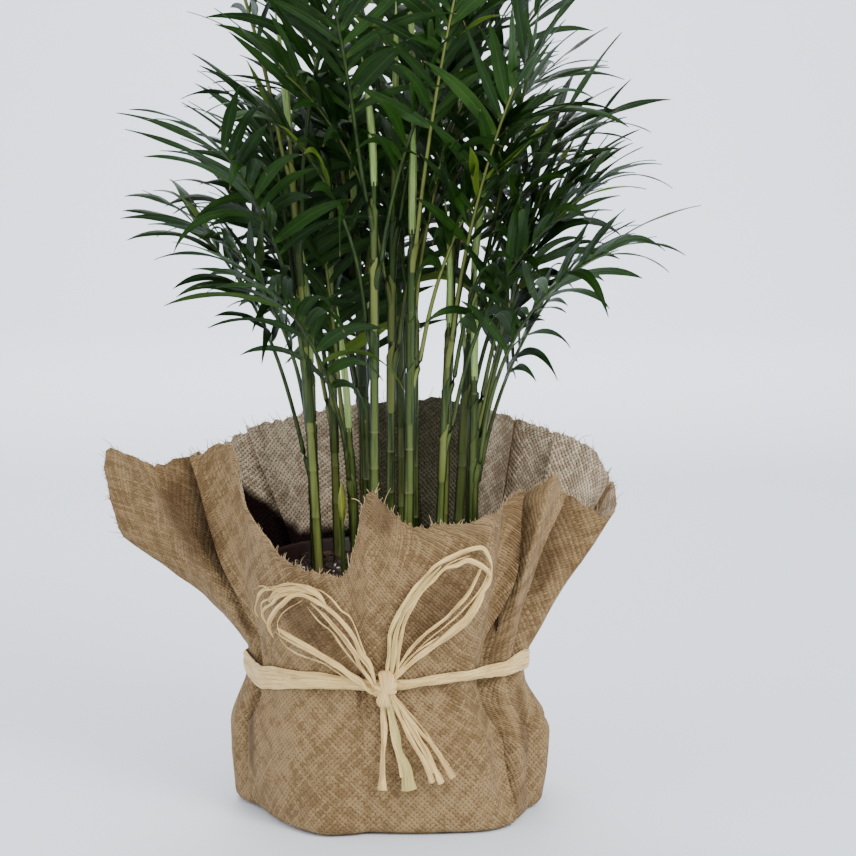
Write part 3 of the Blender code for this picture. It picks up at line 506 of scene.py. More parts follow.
# The bow's strands: half width, stand-off (mm), tone and the route over the front of the wrap, as x and z
# in mm.
LEFT_LOOP = [
    (1.15, 0.8, 0.1, [(-2, 67), (-5, 73), (-8, 80), (-11, 86), (-15, 93), (-20, 100), (-25, 106),
        (-32, 111)]),
    (0.95, 1.2, 0.3, [(-4, 67), (-8, 74), (-12, 80), (-15, 86), (-19, 93), (-24, 99), (-28, 104),
        (-34, 109)]),
    (0.45, 1.8, 0.2, [(-4, 70), (-8, 78), (-13, 86), (-17, 92), (-22, 99), (-28, 105)]),
    (0.4, 0.6, 0.5, [(-5, 74), (-10, 86), (-16, 102), (-20, 106), (-24, 111), (-29, 114), (-33, 116)]),
    (0.45, 0.5, 0.5, [(-8, 73), (-14, 80), (-20, 89), (-25, 96), (-30, 100), (-36, 107)]),
    (1.7, 1.0, 0.3, [(-27, 108), (-31, 113), (-36, 115), (-41, 115), (-46, 114), (-50, 111), (-54, 106)]),
    (1.2, 1.9, 0.15, [(-26, 107), (-32, 110), (-38, 112), (-43, 111), (-48, 107), (-51, 103), (-53, 98),
        (-54, 93), (-52, 89)]),
    (0.9, 1.5, 0.4, [(-34, 114), (-42, 113), (-48, 110), (-53, 106), (-56, 102), (-57, 98), (-55, 94)]),
    (0.5, 2.4, 0.1, [(-32, 113), (-39, 115), (-46, 113), (-52, 109), (-57, 104), (-58, 99)]),
    (0.55, 1.4, 0.2, [(-36, 117), (-46, 116), (-52, 113), (-57, 110), (-60, 105), (-61, 100), (-60, 96)]),
    (0.35, 2.2, 0.3, [(-30, 112), (-40, 117), (-49, 115), (-55, 112), (-59, 108), (-61, 103)]),
    (0.3, 2.8, 0.1, [(-40, 114), (-50, 112), (-57, 113), (-61, 110)]),
    (0.3, 3.0, 0.2, [(-38, 110), (-46, 105), (-50, 98), (-49, 92)]),
    (1.35, 1.1, 0.1, [(-50, 94), (-44, 91.5), (-38, 88.5), (-33, 86), (-28, 83), (-22, 79.5), (-17, 76),
        (-12, 72.5), (-7, 68.5), (-3, 67)]),
    (0.6, 1.9, 0.35, [(-51, 92), (-42, 88.5), (-32, 84), (-22, 78), (-13, 71.5), (-4, 68)]),
    (0.45, 0.5, 0.6, [(-49, 89), (-45, 86), (-39, 83.5), (-30, 80), (-22, 76), (-13, 71), (-5, 68)]),
]
RIGHT_LOOP = [
    (1.15, 0.6, 0.62, [(0, 69), (1, 78), (1.6, 85), (2.6, 95), (4.6, 103), (8, 109.5), (13, 116.5),
        (18, 122), (23, 127), (29, 130.5), (36, 132.5), (43, 134), (46, 131), (48, 126), (48, 120)]),
    (1.05, 1.2, 0.45, [(3, 69), (4.6, 77), (6, 85), (7.4, 95), (9, 102), (12, 108.5), (16, 115),
        (21, 121), (26, 125), (31, 127), (37, 128.5), (42, 127), (46, 123), (48, 118)]),
    (1.15, 1.7, 0.8, [(1.5, 69), (2.8, 76), (3.8, 85), (5, 95), (7, 102.5), (10, 109), (15, 116),
        (19, 121), (25, 127)]),
    (0.4, 2.6, 0.5, [(2, 72), (4, 84), (6, 96), (10, 107), (18, 118), (28, 127), (38, 131)]),
    (1.35, 0.8, 0.1, [(48, 124), (46, 117), (44, 112.5), (41, 107.5), (37, 102), (32, 97), (27, 92.5),
        (21, 88), (15, 84), (9, 79), (3, 73)]),
    (0.95, 1.4, 0.3, [(45, 115), (43, 109), (38, 101.5), (32, 95.5), (26, 91), (19, 86.5), (12, 81.5),
        (6, 76)]),
    (0.95, 1.0, 0.05, [(43.5, 125), (40, 118), (37, 112.5), (33, 107), (28, 102.5), (23, 98.5),
        (18, 94.5), (13, 90), (9, 85), (3, 75)]),
    (0.5, 0.7, 0.4, [(24, 93), (18, 89), (13, 86.5), (9, 82), (3, 74)]),
    (0.35, 2.2, 0.2, [(47, 124), (43, 115), (36, 106), (28, 98), (18, 90), (8, 80)]),
]
TAILS = [
    [(1.35, 0.6, 0.2, [(-1.2, 69), (-1.0, 58), (-0.8, 50), (-0.8, 42), (-1.0, 33), (-1.7, 23)]),
     (0.5, 1.4, 0.05, [(-1.6, 68), (-1.8, 53), (-1.6, 40), (-1.6, 28)])],
    [(2.2, 0.5, 0.9, [(0.4, 69), (2.4, 56), (4.4, 48), (6.4, 40), (8.8, 32), (10.4, 23)]),
     (0.7, 1.4, 0.4, [(0.4, 68), (1.8, 55), (3.2, 46), (5.0, 38), (7.2, 29)])],
    [(1.25, 0.9, 0.1, [(0.6, 69), (5.6, 56), (10, 48), (13.6, 42), (17.2, 35), (21, 26.5)]),
     (0.9, 0.4, 0.55, [(0.8, 69), (6.6, 58), (11, 50), (15, 44), (18.6, 37.5), (22, 31)])],
    [(0.95, 0.8, 0.25, [(0.8, 69), (9.2, 55.5), (15, 46.5), (19, 40), (22.2, 33), (25, 26)])],
    [(1.15, 0.8, 0.1, [(1.2, 69.5), (9.6, 57.5), (15.4, 50), (20.4, 43.5), (25.4, 37), (30.4, 28.5)]),
     (0.45, 1.6, 0.05, [(1.6, 69), (11.2, 57), (17.4, 49), (23, 42), (28.5, 34)])],
]
# Shade on the cloth's front, inside the loops, in the hollows of the corner flaps and between the lower
# folds: middle (x and z), half length and half width in mm, turn in degrees and darkness. It is painted in
# front of FRONT_Y, and SHADE_SOFT is how steeply it rises from its border.
FRONT_Y = 0.020
SHADE_SOFT = 2.2
FRONT_SHADES = [(23.5, 106, 27, 10, 50, 0.52), (-36, 98, 21, 10.5, 141, 0.55), (-95, 135, 29, 12, 119, 0.62),
                (-3, 150, 13, 9, 115, 0.5), (-64.5, 37, 20, 2.6, 92, 0.6), (64, 44, 20, 3, 96, 0.5),
                (62, 12, 9, 5, 90, 0.35), (75, 111, 15, 4, 66, 0.65), (62, 126, 7, 2.6, 98, 0.7),
                (-69.4, 87, 12, 2.4, 115, 0.6)]
RAFFIA_LIGHT = (0.96, 0.70, 0.28, 1)
RAFFIA_DARK = (0.54, 0.33, 0.102, 1)
RAFFIA_BROWN = (0.28, 0.16, 0.055, 1)
RAFFIA_GREEN = (0.64, 0.52, 0.17, 1)
RAFFIA_OLIVE = (0.40, 0.32, 0.10, 1)
FIBRES = (60.0, 2600.0, 30.0)
RAFFIA_PATCHES = (70.0, 300.0, 9.0)
# Where each colour starts and is whole: in the fibres' and patches' noise and in a strand's tone.
STRAW_ENDS = (0.30, 0.70)
BROWN_ENDS = (0.5, 0.8)
BROWN_MOST = 0.6
OLIVE_ENDS = (0.35, 0.65)
GREEN_ENDS = (0.6, 0.9)
RAFFIA_BUMP = 0.0003

# Nursery pot and soil.
POT_FLOOR_Z = 0.0019
POT_TOP_Z = 0.116
POT_BASE_RADIUS = 0.046
POT_BODY_RADIUS = 0.0575
POT_RIM_RADIUS = 0.0605
POT_RIM_HEIGHT = 0.010
POT_WALL = 0.0014
POT_SIDES_FINE = 120
FLOOR_MIDDLE = 0.002
# The rounding of the pot's corners, as radius and height from each corner.
POT_CORNER = [(-0.002, 0.0), (-0.0006, 0.0005), (0.0, 0.002)]
RIM_FOOT = [(-0.0004, 0.0008), (0.0, 0.0018)]
RIM_INSIDE = [(0.0006, 0.0), (0.0, -0.001)]
RIM_STEPS = 12
DRAIN_HOLES = 5
DRAIN_SIDES = 32
DRAIN_RADIUS = 0.005
DRAIN_CIRCLE = 0.030
POT_COLOUR = (0.028, 0.008, 0.007, 1)
POT_DUST = (0.050, 0.024, 0.017, 1)
DUST_SCALE = 55.0
DUST_ENDS = (0.5, 0.75)
GRAIN_SCALE = 900.0
POT_BUMP = 0.00005
SOIL_CROWN = 0.003
SOIL_CLEAR = 0.0003
SOIL_SIDES = 90
SOIL_EDGE = 0.004
SOIL_RINGS = (1.0, 0.96, 0.9, 0.82, 0.73, 0.64, 0.55, 0.46, 0.37, 0.28, 0.19, 0.1)
# The soil's lumps: noise scale and size.
SOIL_LUMPS = [(60, 0.0018), (210, 0.0009)]
# Crumbs: their material, how many, and their least and greatest size.
CRUMBS = [(0, 1100, 0.0012, 0.0036), (0, 120, 0.004, 0.008), (1, 45, 0.0014, 0.0034)]
CRUMB_REACH = 0.97
CRUMB_RISE = 0.2
CRUMB_TIP = 3
CRUMB_WIDTH = (0.5, 1)
CRUMB_HEIGHT = (0.35, 0.8)
SOIL_DARK = (0.018, 0.010, 0.007, 1)
SOIL_LIGHT = (0.065, 0.036, 0.022, 1)
SOIL_BARK = (0.13, 0.070, 0.038, 1)
PERLITE_DARK = (0.48, 0.46, 0.42, 1)
PERLITE_LIGHT = (0.78, 0.77, 0.74, 1)
GRAIN_ENDS = (0.35, 0.7)
BARK_ENDS = (0.75, 1.0)
PERLITE_SCALE = 2500.0
SOIL_BUMP = 0.0006
PERLITE_BUMP = 0.0003

# Stage.
FLOOR_COLOUR = (0.88, 0.925, 1.0, 1)
WORLD_COLOUR = (0.92, 0.94, 0.97, 1)
WORLD_STRENGTH = 1.28
PLANT_AIM = (0, 0, 0.2)
# Lights: name, place, aim, width and power.
LIGHTS = [
    ("key", (1.05, -1.15, 1.30), PLANT_AIM, 0.8, 26),
    ("fill", (-1.30, -0.90, 0.80), PLANT_AIM, 1.2, 5),
    ("back", (-0.30, 1.20, 1.30), PLANT_AIM, 1.0, 14),
    ("backdrop", (0, 1.60, 1.60), (0, 4.2, 0.6), 1.5, 55),
]


def clamped(value):
    """A value kept between 0 and 1."""
    return max(0.0, min(1.0, value))


def eased(value):
    """A share from 0 to 1 with a soft start and end."""
    share = clamped(value)
    return share * share * (3 - 2 * share)


def outward(azimuth):
    """The level unit vector that points to an azimuth, in degrees."""
    angle = math.radians(azimuth)
    return Vector((math.sin(angle), -math.cos(angle), 0))


def cane_point(cane, height):
    """A point on a cane's axis, at a distance up from its foot in the soil."""
    rise = height / cane["length"]
    return cane["foot"] + cane["axis"] * height + cane["bend"] * rise * rise


def cane_radius(cane, height):
    """The cane's radius, which tapers towards the crown."""
    return cane["radius"] * (1 - CANE_TAPER * max(0.0, height) / cane["length"])


def plan_cane(row, rng):
    """One seedling's cane, which leans a little away from the pot's middle."""
    x, y, crown, _ = row
    lean = Vector((x, y, 0)) * MM * CANE_LEAN
    lean += Vector((rng.uniform(-1, 1), rng.uniform(-1, 1), 0)) * LEAN_DRAW
    axis = (UP + lean).normalized()
    foot = Vector((x, y, 0)) * MM + UP * (SOIL_TOP_Z - PLANTING_DEPTH)
    bend = Vector((rng.uniform(-1, 1), rng.uniform(-1, 1), 0)) * BEND_DRAW
    radius = CANE_RADIUS * rng.uniform(*CANE_SIZES)
    return {"foot": foot, "axis": axis, "bend": bend, "radius": radius,
            "length": (crown * MM - foot.z) / axis.z, "turn": rng.uniform(0, 360 / CANE_SIDES)}


def frame_at(path, distance):
    """Position, direction, side and upper normal on a path of evenly stepped points."""
    place = min(max(distance / STEP, 0.0), len(path) - PATH_END)
    index = int(place)
    point = path[index].lerp(path[index + 1], place - index)
    ahead = (path[min(index + 2, len(path) - 1)] - path[max(index - 1, 0)]).normalized()
    side = ahead.cross(UP).normalized()
    return point, ahead, side, side.cross(ahead)


def aged(young, old, age, rng):
    """A random number from a range that shifts with a frond's age, from 0 for the newest to 1."""
    return rng.uniform(*[a + (b - a) * age for a, b in zip(young, old)])


def plan_frond(cane, height, azimuth, age, rng, turn):
    """One frond's axis: up beside the cane, then arching out towards its azimuth, older ones further."""
    petiole = rng.uniform(*PETIOLE_LENGTH)
    rachis = rng.uniform(*RACHIS_LENGTH)
    tilt_start = math.radians(rng.uniform(*TILT_START))
    tilt_end = math.radians(aged(TILT_END_YOUNG, TILT_END_OLD, age, rng))
    sway = rng.uniform(-FROND_SWAY, FROND_SWAY)
    azimuth += rng.uniform(-AZIMUTH_DRAW, AZIMUTH_DRAW) + turn
    faces = [cane["turn"] + 360 / CANE_SIDES * k for k in range(CANE_SIDES)]
    face = min(faces, key=lambda angle: abs((angle - azimuth + 180) % 360 - 180))
    swing = (azimuth - face + 180) % 360 - 180
    reach = cane_radius(cane, height) + PETIOLE_HALF + STALK_CLEARANCE
    point = cane_point(cane, height) + outward(face) * reach + UP * STALK_RISE
    path = [point]
    length = petiole + rachis
    for k in range(int(length / STEP) + 2):
        share = k * STEP / length
        level = outward(face + swing * min(1.0, share * SWING_RATE) + sway * share)
        tilt = tilt_start + (tilt_end - tilt_start) * share ** TILT_POWER
        point = point + (cane["axis"] * math.cos(tilt) + level * math.sin(tilt)) * STEP
        path.append(point)
    return {"path": path, "petiole": petiole, "rachis": rachis, "height": height, "face": face, "age": age}


def half_size(frond, distance):
    """Half the thickness of a frond's stalk, from its foot to its tip."""
    share = min(1.0, distance / (frond["petiole"] + frond["rachis"]))
    return PETIOLE_HALF + (RACHIS_TIP_HALF - PETIOLE_HALF) * share


def stalk_ring(frond, distance, margin=0.0):
    """The three corners of a frond's stalk: left, right and upper."""
    point, _, side, normal = frame_at(frond["path"], distance)
    half = half_size(frond, distance) + margin
    low = normal * half * STALK_FLATNESS
    return [point + side * half - low, point - side * half - low, point + normal * half]


def blade_width(share):
    """How wide a leaflet is along its length, as a share of its widest."""
    along = WIDTH_START + (1 - WIDTH_START) * share
    return math.sin(math.pi * along ** WIDTH_WIDEST) ** WIDTH_FULLNESS


def plan_leaflet(frond, pair, side_sign, rng, attempt):
    """One leaflet: its root on the rachis, then a lance-shaped blade that arches under its weight."""
    share = pair / (LEAFLET_PLACES - 1)
    distance = leaf_distance(frond, pair)
    point, ahead, side, normal = frame_at(frond["path"], distance + LEAFLET_ROOT / 2)
    away = AWAY - AWAY_LOST * share - AWAY_LOST_AT_TIP * share ** 4
    away = math.radians(away + rng.uniform(-AWAY_DRAW, AWAY_DRAW))
    raised = math.radians(rng.uniform(*RAISED))
    droop = math.radians(aged(DROOP_YOUNG, DROOP_OLD, frond["age"], rng))
    droop *= LOW_DROOP - DROOP_LOST * share
    twist = math.radians(rng.uniform(-TWIST, TWIST))
    full = LENGTH_LEAST + LENGTH_SWELL * math.sin(math.pi * (LENGTH_START + LENGTH_RUN * share))
    length = rng.uniform(*LEAFLET_LENGTH) * full
    width = rng.uniform(*LEAFLET_WIDTH)
    away = max(away + AWAY_TRY * ((attempt * 2 + 1) % 5 - 2) * min(attempt, 1), LEAST_AWAY)
    raised += RAISED_TRY * ((attempt * 3 + 1) % 7 - 3) * min(attempt, 1)
    raised = max(-MOST_RAISED / 2, min(MOST_RAISED, raised))
    length *= 1 - SHORTER_TRY * attempt
    outwards = side * side_sign * math.cos(raised) + normal * math.sin(raised)
    heading = (ahead * math.cos(away) + outwards * math.sin(away)).normalized()
    blade_side = (ahead - heading * ahead.dot(heading)).normalized()
    blade_normal = blade_side.cross(heading)
    if blade_normal.dot(normal) < 0:
        blade_normal = -blade_normal
    root = point + side * side_sign * half_size(frond, distance) * ROOT_REACH
    return {"root": root, "heading": heading, "side": blade_side, "normal": blade_normal,
            "length": length, "width": width, "droop": droop, "twist": twist,
            "frond": frond, "pair": pair, "sign": side_sign}


def leaf_distance(frond, pair):
    """How far along a frond's path a pair of leaflets has its root."""
    usable = frond["rachis"] - LEAFLET_ROOT - RACHIS_END
    return frond["petiole"] + usable * pair / (LEAFLET_PLACES - 1)


def stalk_distances(frond):
    """Where a frond's stalk has its sections: three on the petiole, then two at each pair of leaflets."""
    found = [STALK_FOOT] + [frond["petiole"] * share for share in PETIOLE_SECTIONS]
    for pair in PAIRS_HERE:
        found += [leaf_distance(frond, pair), leaf_distance(frond, pair) + LEAFLET_ROOT]
    return found


def blade_frames(leaf, shares, steps=12):
    """Centre, side, normal and half width of a leaflet's blade at shares of its length."""
    bend_axis = leaf["heading"].cross(UP)
    if bend_axis.length < LEAST_LEVEL:
        bend_axis = leaf["side"].copy()
    bend_axis.normalize()
    points = [leaf["root"]]
    for k in range(steps):
        turn = Matrix.Rotation(-leaf["droop"] * ((k + 0.5) / steps) ** DROOP_POWER, 3, bend_axis)
        points.append(points[-1] + turn @ leaf["heading"] * (leaf["length"] / steps))
    frames = []
    for share in shares:
        place = min(share * steps, steps - BLADE_END)
        index = int(place)
        centre = points[index].lerp(points[index + 1], place - index)
        turn = Matrix.Rotation(-leaf["droop"] * share ** DROOP_POWER, 3, bend_axis)
        heading = turn @ leaf["heading"]
        roll = Matrix.Rotation(leaf["twist"] * share, 3, heading)
        half = leaf["width"] / 2 * blade_width(share)
        frames.append((centre, roll @ turn @ leaf["side"], roll @ turn @ leaf["normal"], half))
    return frames


def blade_ring(frame, margin=0.0):
    """The three corners of a blade's section: front edge, back edge and keel."""
    centre, side, normal, half = frame
    low = centre - normal * margin
    return [low + side * (half + margin), low - side * (half + margin),
            centre + normal * (LEAFLET_THICKNESS + margin)]


def search_entry(points, faces):
    """A shape's lowest and highest corners and its search tree."""
    low = [min(point[axis] for point in points) for axis in range(3)]
    high = [max(point[axis] for point in points) for axis in range(3)]
    return low, high, BVHTree.FromPolygons(points, faces)


def side_faces(first, following):
    """The six triangles between two rings of three corners, by the numbers of their first corners."""
    faces = []
    for k in range(3):
        j = (k + 1) % 3
        faces.append((first + k, first + j, following + j))
        faces.append((first + k, following + j, following + k))
    return faces


def prism_entry(rings):
    """The search entry of a three-sided prism through a list of rings."""
    points = [corner for ring in rings for corner in ring]
    last = len(points) - 3
    faces = [(0, 1, 2), (last, last + 1, last + 2)]
    for first in range(0, last, 3):
        faces += side_faces(first, first + 3)
    return search_entry(points, faces)


# A root's four corners (lower front, lower back, upper front, upper back) joined to the first ring.
ROOT_FACES = [(0, 1, 5), (0, 5, 4), (1, 3, 6), (1, 6, 5), (2, 0, 4), (2, 4, 6), (3, 2, 6)]


def blade_faces():
    """A leaflet's triangles: its root, the stretches between its rings, and its tip."""
    faces = list(ROOT_FACES)
    first = 4
    for _ in LEAFLET_RINGS[1:]:
        faces += side_faces(first, first + 3)
        first += 3
    tip = first + 3
    return faces + [(first + k, first + (k + 1) % 3, tip) for k in range(3)]


def blade_corners(leaf, margin=0.0):
    """A leaflet's corners past its root: its rings, then its tip."""
    frames = blade_frames(leaf, LEAFLET_RINGS + (1.0,))
    corners = [corner for frame in frames[:-1] for corner in blade_ring(frame, margin)]
    tip, _, normal, _ = frames[-1]
    return corners + [tip + normal * margin]


def root_corners(leaf):
    """The four corners of the stalk's side face that a leaflet grows out of."""
    distance = leaf_distance(leaf["frond"], leaf["pair"])
    low = stalk_ring(leaf["frond"], distance)
    high = stalk_ring(leaf["frond"], distance + LEAFLET_ROOT)
    corner = 0 if leaf["sign"] > 0 else 1
    return [high[corner], low[corner], high[2], low[2]]


def crosses(trial, grown, skip=None):
    """Whether a trial prism touches anything grown so far."""
    low, high, tree = trial
    for other_low, other_high, other, owner in grown:
        if owner is skip:
            continue
        if any(low[a] > other_high[a] or high[a] < other_low[a] for a in range(3)):
            continue
        if tree.overlap(other):
            return True
    return False


def cane_rings(cane, margin):
    """Three-cornered sections round a cane, as its keep-out for the search."""
    rings = []
    for k in range(CANE_KEEP_OUTS + 1):
        height = (cane["length"] + SPEAR_LENGTH) * k / CANE_KEEP_OUTS
        centre = cane_point(cane, height)
        size = (cane_radius(cane, min(height, cane["length"])) + margin) * 2
        rings.append([centre + outward(120 * j) * size for j in range(3)])
    return rings


def plan_palm():
    """Every seedling with its fronds and leaflets, each kept clear of all the others."""
    grown = []
    seedlings = []
    for number, row in enumerate(SEEDLINGS):
        rng = random.Random(SEED + number)
        cane = plan_cane(row, rng)
        seedlings.append({"cane": cane, "fronds": [], "rng": rng, "azimuths": row[3]})
        grown.append(prism_entry(cane_rings(cane, MARGIN)) + (cane,))
    for seedling in seedlings:
        grow_fronds(seedling, grown)
    for pair in PAIRS_HERE + PAIRS_ADDED:
        for seedling in seedlings:
            for frond in seedling["fronds"]:
                for side_sign in (1, -1):
                    grow_leaflet(frond, pair, side_sign, seedling["rng"], grown, pair in PAIRS_ADDED)
    return seedlings


def grow_fronds(seedling, grown):
    """Each frond's stalk, turned a little where that is what it takes to be clear of everything."""
    cane, rng = seedling["cane"], seedling["rng"]
    own = [entry for entry in grown if entry[3] is cane]
    last = len(seedling["azimuths"]) - 1
    for k, azimuth in enumerate(seedling["azimuths"]):
        below = (last - k) * FROND_SPACING * cane["length"] + TOP_FROND_BELOW
        height = cane["length"] - below - rng.uniform(0, FROND_HEIGHT_DRAW)
        age = (last - k) / last
        draw = rng.random()
        for attempt in range(FROND_TRIES):
            turn = FROND_TURN * (attempt // 2 + attempt % 2) * (1 if attempt % 2 else -1)
            frond = plan_frond(cane, height, azimuth, age, random.Random(draw), turn)
            rings = [stalk_ring(frond, distance, MARGIN) for distance in stalk_distances(frond)]
            base = cane_point(cane, height - SHEATH_HEIGHT / 2)
            foot = [corner.lerp(base, FOOT_SHARE) for corner in rings[0]]
            stalk = prism_entry([foot] + rings)
            if not crosses(stalk, grown, skip=cane) and not crosses(prism_entry(rings[1:]), own):
                frond["stalk"] = stalk + (frond,)
                frond["leaflets"] = []
                grown.append(frond["stalk"])
                seedling["fronds"].append(frond)
                break


def leaf_floor(point):
    """How low a leaflet may hang: clear of the wrap's edge, and lower in the middle of its mouth."""
    share = min(1.0, max(0.0, Vector((point.x, point.y)).length - MOUTH_RADIUS) / MOUTH_SLOPE)
    return MOUTH_Z + (LEAF_FLOOR_Z - MOUTH_Z) * share


def grow_leaflet(frond, pair, side_sign, rng, grown, added):
    """Try a leaflet in a few attitudes, and keep the first that is clear of everything.

    One that is in the scene alone may brush past other leaflets where no attitude is clear.
    """
    brushing = None
    draw = rng.random()
    for attempt in range(TRIES):
        leaf = plan_leaflet(frond, pair, side_sign, random.Random(draw), attempt)
        frames = blade_frames(leaf, LEAFLET_RINGS + (1.0,))
        if any(frame[0].z < leaf_floor(frame[0]) for frame in frames):
            continue
        root = root_corners(leaf)
        aside = (root[0] - root[2]) * ROOT_ASIDE
        root[2:] = [corner + aside for corner in root[2:]]
        true, swelled = blade_corners(leaf), blade_corners(leaf, MARGIN)
        neck = [a.lerp(b, NECK_SHARE) for a, b in zip(root, (true[0], true[1], true[2], true[2]))]
        shapes = [search_entry(root + corners, blade_faces()) for corners in (true, swelled)]
        beyond = search_entry(neck + true, blade_faces())
        if crosses(beyond, [frond["stalk"]]):
            continue
        if not any(crosses(shape, grown, skip=frond) for shape in shapes):
            grown += [shape + (leaf,) for shape in shapes]
            frond["leaflets"].append(leaf)
            return
        stems = [entry for entry in grown if "pair" not in entry[3]]
        if added and not brushing and not crosses(shapes[0], stems, skip=frond):
            brushing = leaf
    if brushing:
        frond["leaflets"].append(brushing)


def node(tree, kind, settings, inputs):
    """Add a shader node. An input that is a socket is linked, and a value is set."""
    made = tree.nodes.new("ShaderNode" + kind)
    for name, value in settings.items():
        setattr(made, name, value)
    for name, value in inputs.items():
        if isinstance(value, bpy.types.NodeSocket):
            tree.links.new(value, made.inputs[name])
        else:
            made.inputs[name].default_value = value
    return made


def calc(tree, operation, first, second=0.0, third=0.0):
    """The result of one Math node."""
    inputs = {0: first, 1: second, 2: third}
    return node(tree, "Math", {"operation": operation}, inputs).outputs[0]


def blend_colours(tree, share, first, second):
    """One colour or the other, by a share from 0 to 1."""
    made = node(tree, "Mix", {"data_type": "RGBA"}, {0: share, 6: first, 7: second})
    return made.outputs[2]


def times(tree, first, second):
    """One value times another."""
    return calc(tree, "MULTIPLY", first, second)


def swayed(tree, value, draw, size):
    """A value plus a size times a draw's distance from 0.5."""
    return calc(tree, "ADD", value, times(tree, calc(tree, "SUBTRACT", draw, 0.5), size))


def object_place(tree):
    """A point's place in metres."""
    return node(tree, "TexCoord", {}, {}).outputs["Object"]


def smooth_share(tree, value, low, high):
    """0 below low, 1 above high and a smooth rise between. Low may be the larger one."""
    settings = {"interpolation_type": "SMOOTHSTEP"}
    return node(tree, "MapRange", settings, {0: value, 1: low, 2: high}).outputs[0]


def covered(tree, colour, value, ends, over, most=1.0):
    """A colour that another covers, from none to most, as a value goes from one end to the other."""
    share = smooth_share(tree, value, *ends)
    return blend_colours(tree, share if most == 1.0 else times(tree, share, most), colour, over)


def noise_value(tree, vector, scale, detail=3.0):
    """A noise from about 0.2 to 0.8."""
    return node(tree, "TexNoise", {}, {"Vector": vector, "Scale": scale, "Detail": detail}).outputs[0]


def stretched(tree, vector, factors):
    """A vector times another, for noise that runs along one way."""
    return node(tree, "VectorMath", {"operation": "MULTIPLY"}, {0: vector, 1: factors}).outputs[0]


def start_material(name, roughness, specular=0.5, sheen=0.0):
    """A new Principled material. Returns the material and its tree."""
    made = bpy.data.materials.new(name)
    made.use_nodes = True
    shader = made.node_tree.nodes["Principled BSDF"]
    shader.inputs["Roughness"].default_value = roughness
    shader.inputs["Specular IOR Level"].default_value = specular
    shader.inputs["Sheen Weight"].default_value = sheen
    return made, made.node_tree


def end_material(made, colour, height=None, distance=0.0, strength=1.0):
    """Link a material's colour, and bumps of a distance in metres where the height goes from 0 to 1."""
    tree = made.node_tree
    shader = tree.nodes["Principled BSDF"]
    tree.links.new(colour, shader.inputs["Base Color"])
    if height is not None:
        bump = node(tree, "Bump", {}, {"Height": height, "Distance": distance, "Strength": strength})
        tree.links.new(bump.outputs[0], shader.inputs["Normal"])
    return made


def pattern_axes(tree):
    """A piece's own pattern coordinates: the vector, and its three numbers."""
    vector = node(tree, "Attribute", {"attribute_name": "pattern"}, {}).outputs["Vector"]
    split = node(tree, "SeparateXYZ", {}, {0: vector})
    return [vector] + list(split.outputs)


def blade_material():
    """Glossy dark leaflets: pale midrib, fine veins along them, a few yellow ones and dry tips."""
    made, tree = start_material("leaflet", roughness=0.45, specular=0.20)
    vector, along, across, tone = pattern_axes(tree)
    mottle = noise_value(tree, object_place(tree), MOTTLE_SCALE)
    green = blend_colours(tree, tone, BLADE_DARK, BLADE_BRIGHT)
    green = covered(tree, green, mottle, MOTTLE_ENDS, BLADE_MOTTLE)
    green = covered(tree, green, tone, YELLOW_ENDS, BLADE_YELLOW)
    green = covered(tree, green, calc(tree, "ABSOLUTE", across), MIDRIB_ENDS, BLADE_MIDRIB, MIDRIB_MOST)
    green = covered(tree, green, along, ROOT_ENDS, BLADE_MIDRIB)
    tip = calc(tree, "ADD", along, times(tree, mottle, TIP_UNEVEN))
    green = covered(tree, green, tip, TIP_ENDS, BLADE_DRY)
    veins = calc(tree, "SINE", times(tree, across, VEINS_ACROSS))
    grain = noise_value(tree, stretched(tree, vector, BLADE_GRAIN), 1.0)
    height = calc(tree, "MULTIPLY_ADD", veins, VEIN_HEIGHT, times(tree, grain, GRAIN_HEIGHT))
    return end_material(made, green, height, BLADE_BUMP)


def stalk_material():
    """Canes, sheaths, stalks: yellow-green with darker streaks, pale rings, a brown foot and painted side
    shade.
    """
    made, tree = start_material("stalk", roughness=0.42, specular=0.25)
    _, height, ring, tone = pattern_axes(tree)
    streak = noise_value(tree, stretched(tree, object_place(tree), STALK_STREAKS), 1.0)
    green = covered(tree, STALK_PALE, height, PALE_ENDS, STALK_GREEN)
    green = covered(tree, green, streak, STREAK_ENDS, STALK_STREAK)
    green = covered(tree, green, tone, YELLOWED_ENDS, STALK_YELLOW, YELLOWED_MOST)
    green = blend_colours(tree, times(tree, ring, RING_MOST), green, STALK_RING)
    foot = calc(tree, "ADD", height, times(tree, streak, FOOT_UNEVEN))
    green = covered(tree, green, foot, FOOT_ENDS, STALK_FOOT_COLOUR)
    # Painted shade: darker where the surface turns away from view, which rounds the stalks.
    facing = node(tree, "LayerWeight", {}, {"Blend": 0.5}).outputs["Facing"]
    green = covered(tree, green, facing, EDGE_SHADE_ENDS, STALK_EDGE_SHADE)
    return end_material(made, green, streak, STALK_BUMP)


def lined_leaf(tree, pale, dark):
    """The colour of a folded leaf, with lines along it, and the lines."""
    lines = noise_value(tree, stretched(tree, object_place(tree), LEAF_LINES), 1.0)
    return covered(tree, pale, lines, LINE_ENDS, dark), lines


def spear_material():
    """The folded new leaves: pale yellow-green with lines along them."""
    made, tree = start_material("spear", roughness=0.4)
    green, lines = lined_leaf(tree, SPEAR_PALE, SPEAR_GREEN)
    return end_material(made, green, lines, LEAF_LINES_BUMP)


def shoot_material(leaf_z):
    """The young shoot: green up to where its leaf begins, and yellower above."""
    made, tree = start_material("young_shoot", roughness=0.45)
    green, _ = lined_leaf(tree, SHOOT_LIGHT, SHOOT_DARK)
    z = node(tree, "SeparateXYZ", {}, {0: object_place(tree)}).outputs[2]
    ends = (leaf_z - SHOOT_BLEND, leaf_z + SHOOT_BLEND)
    return end_material(made, covered(tree, STALK_GREEN, z, ends, green))


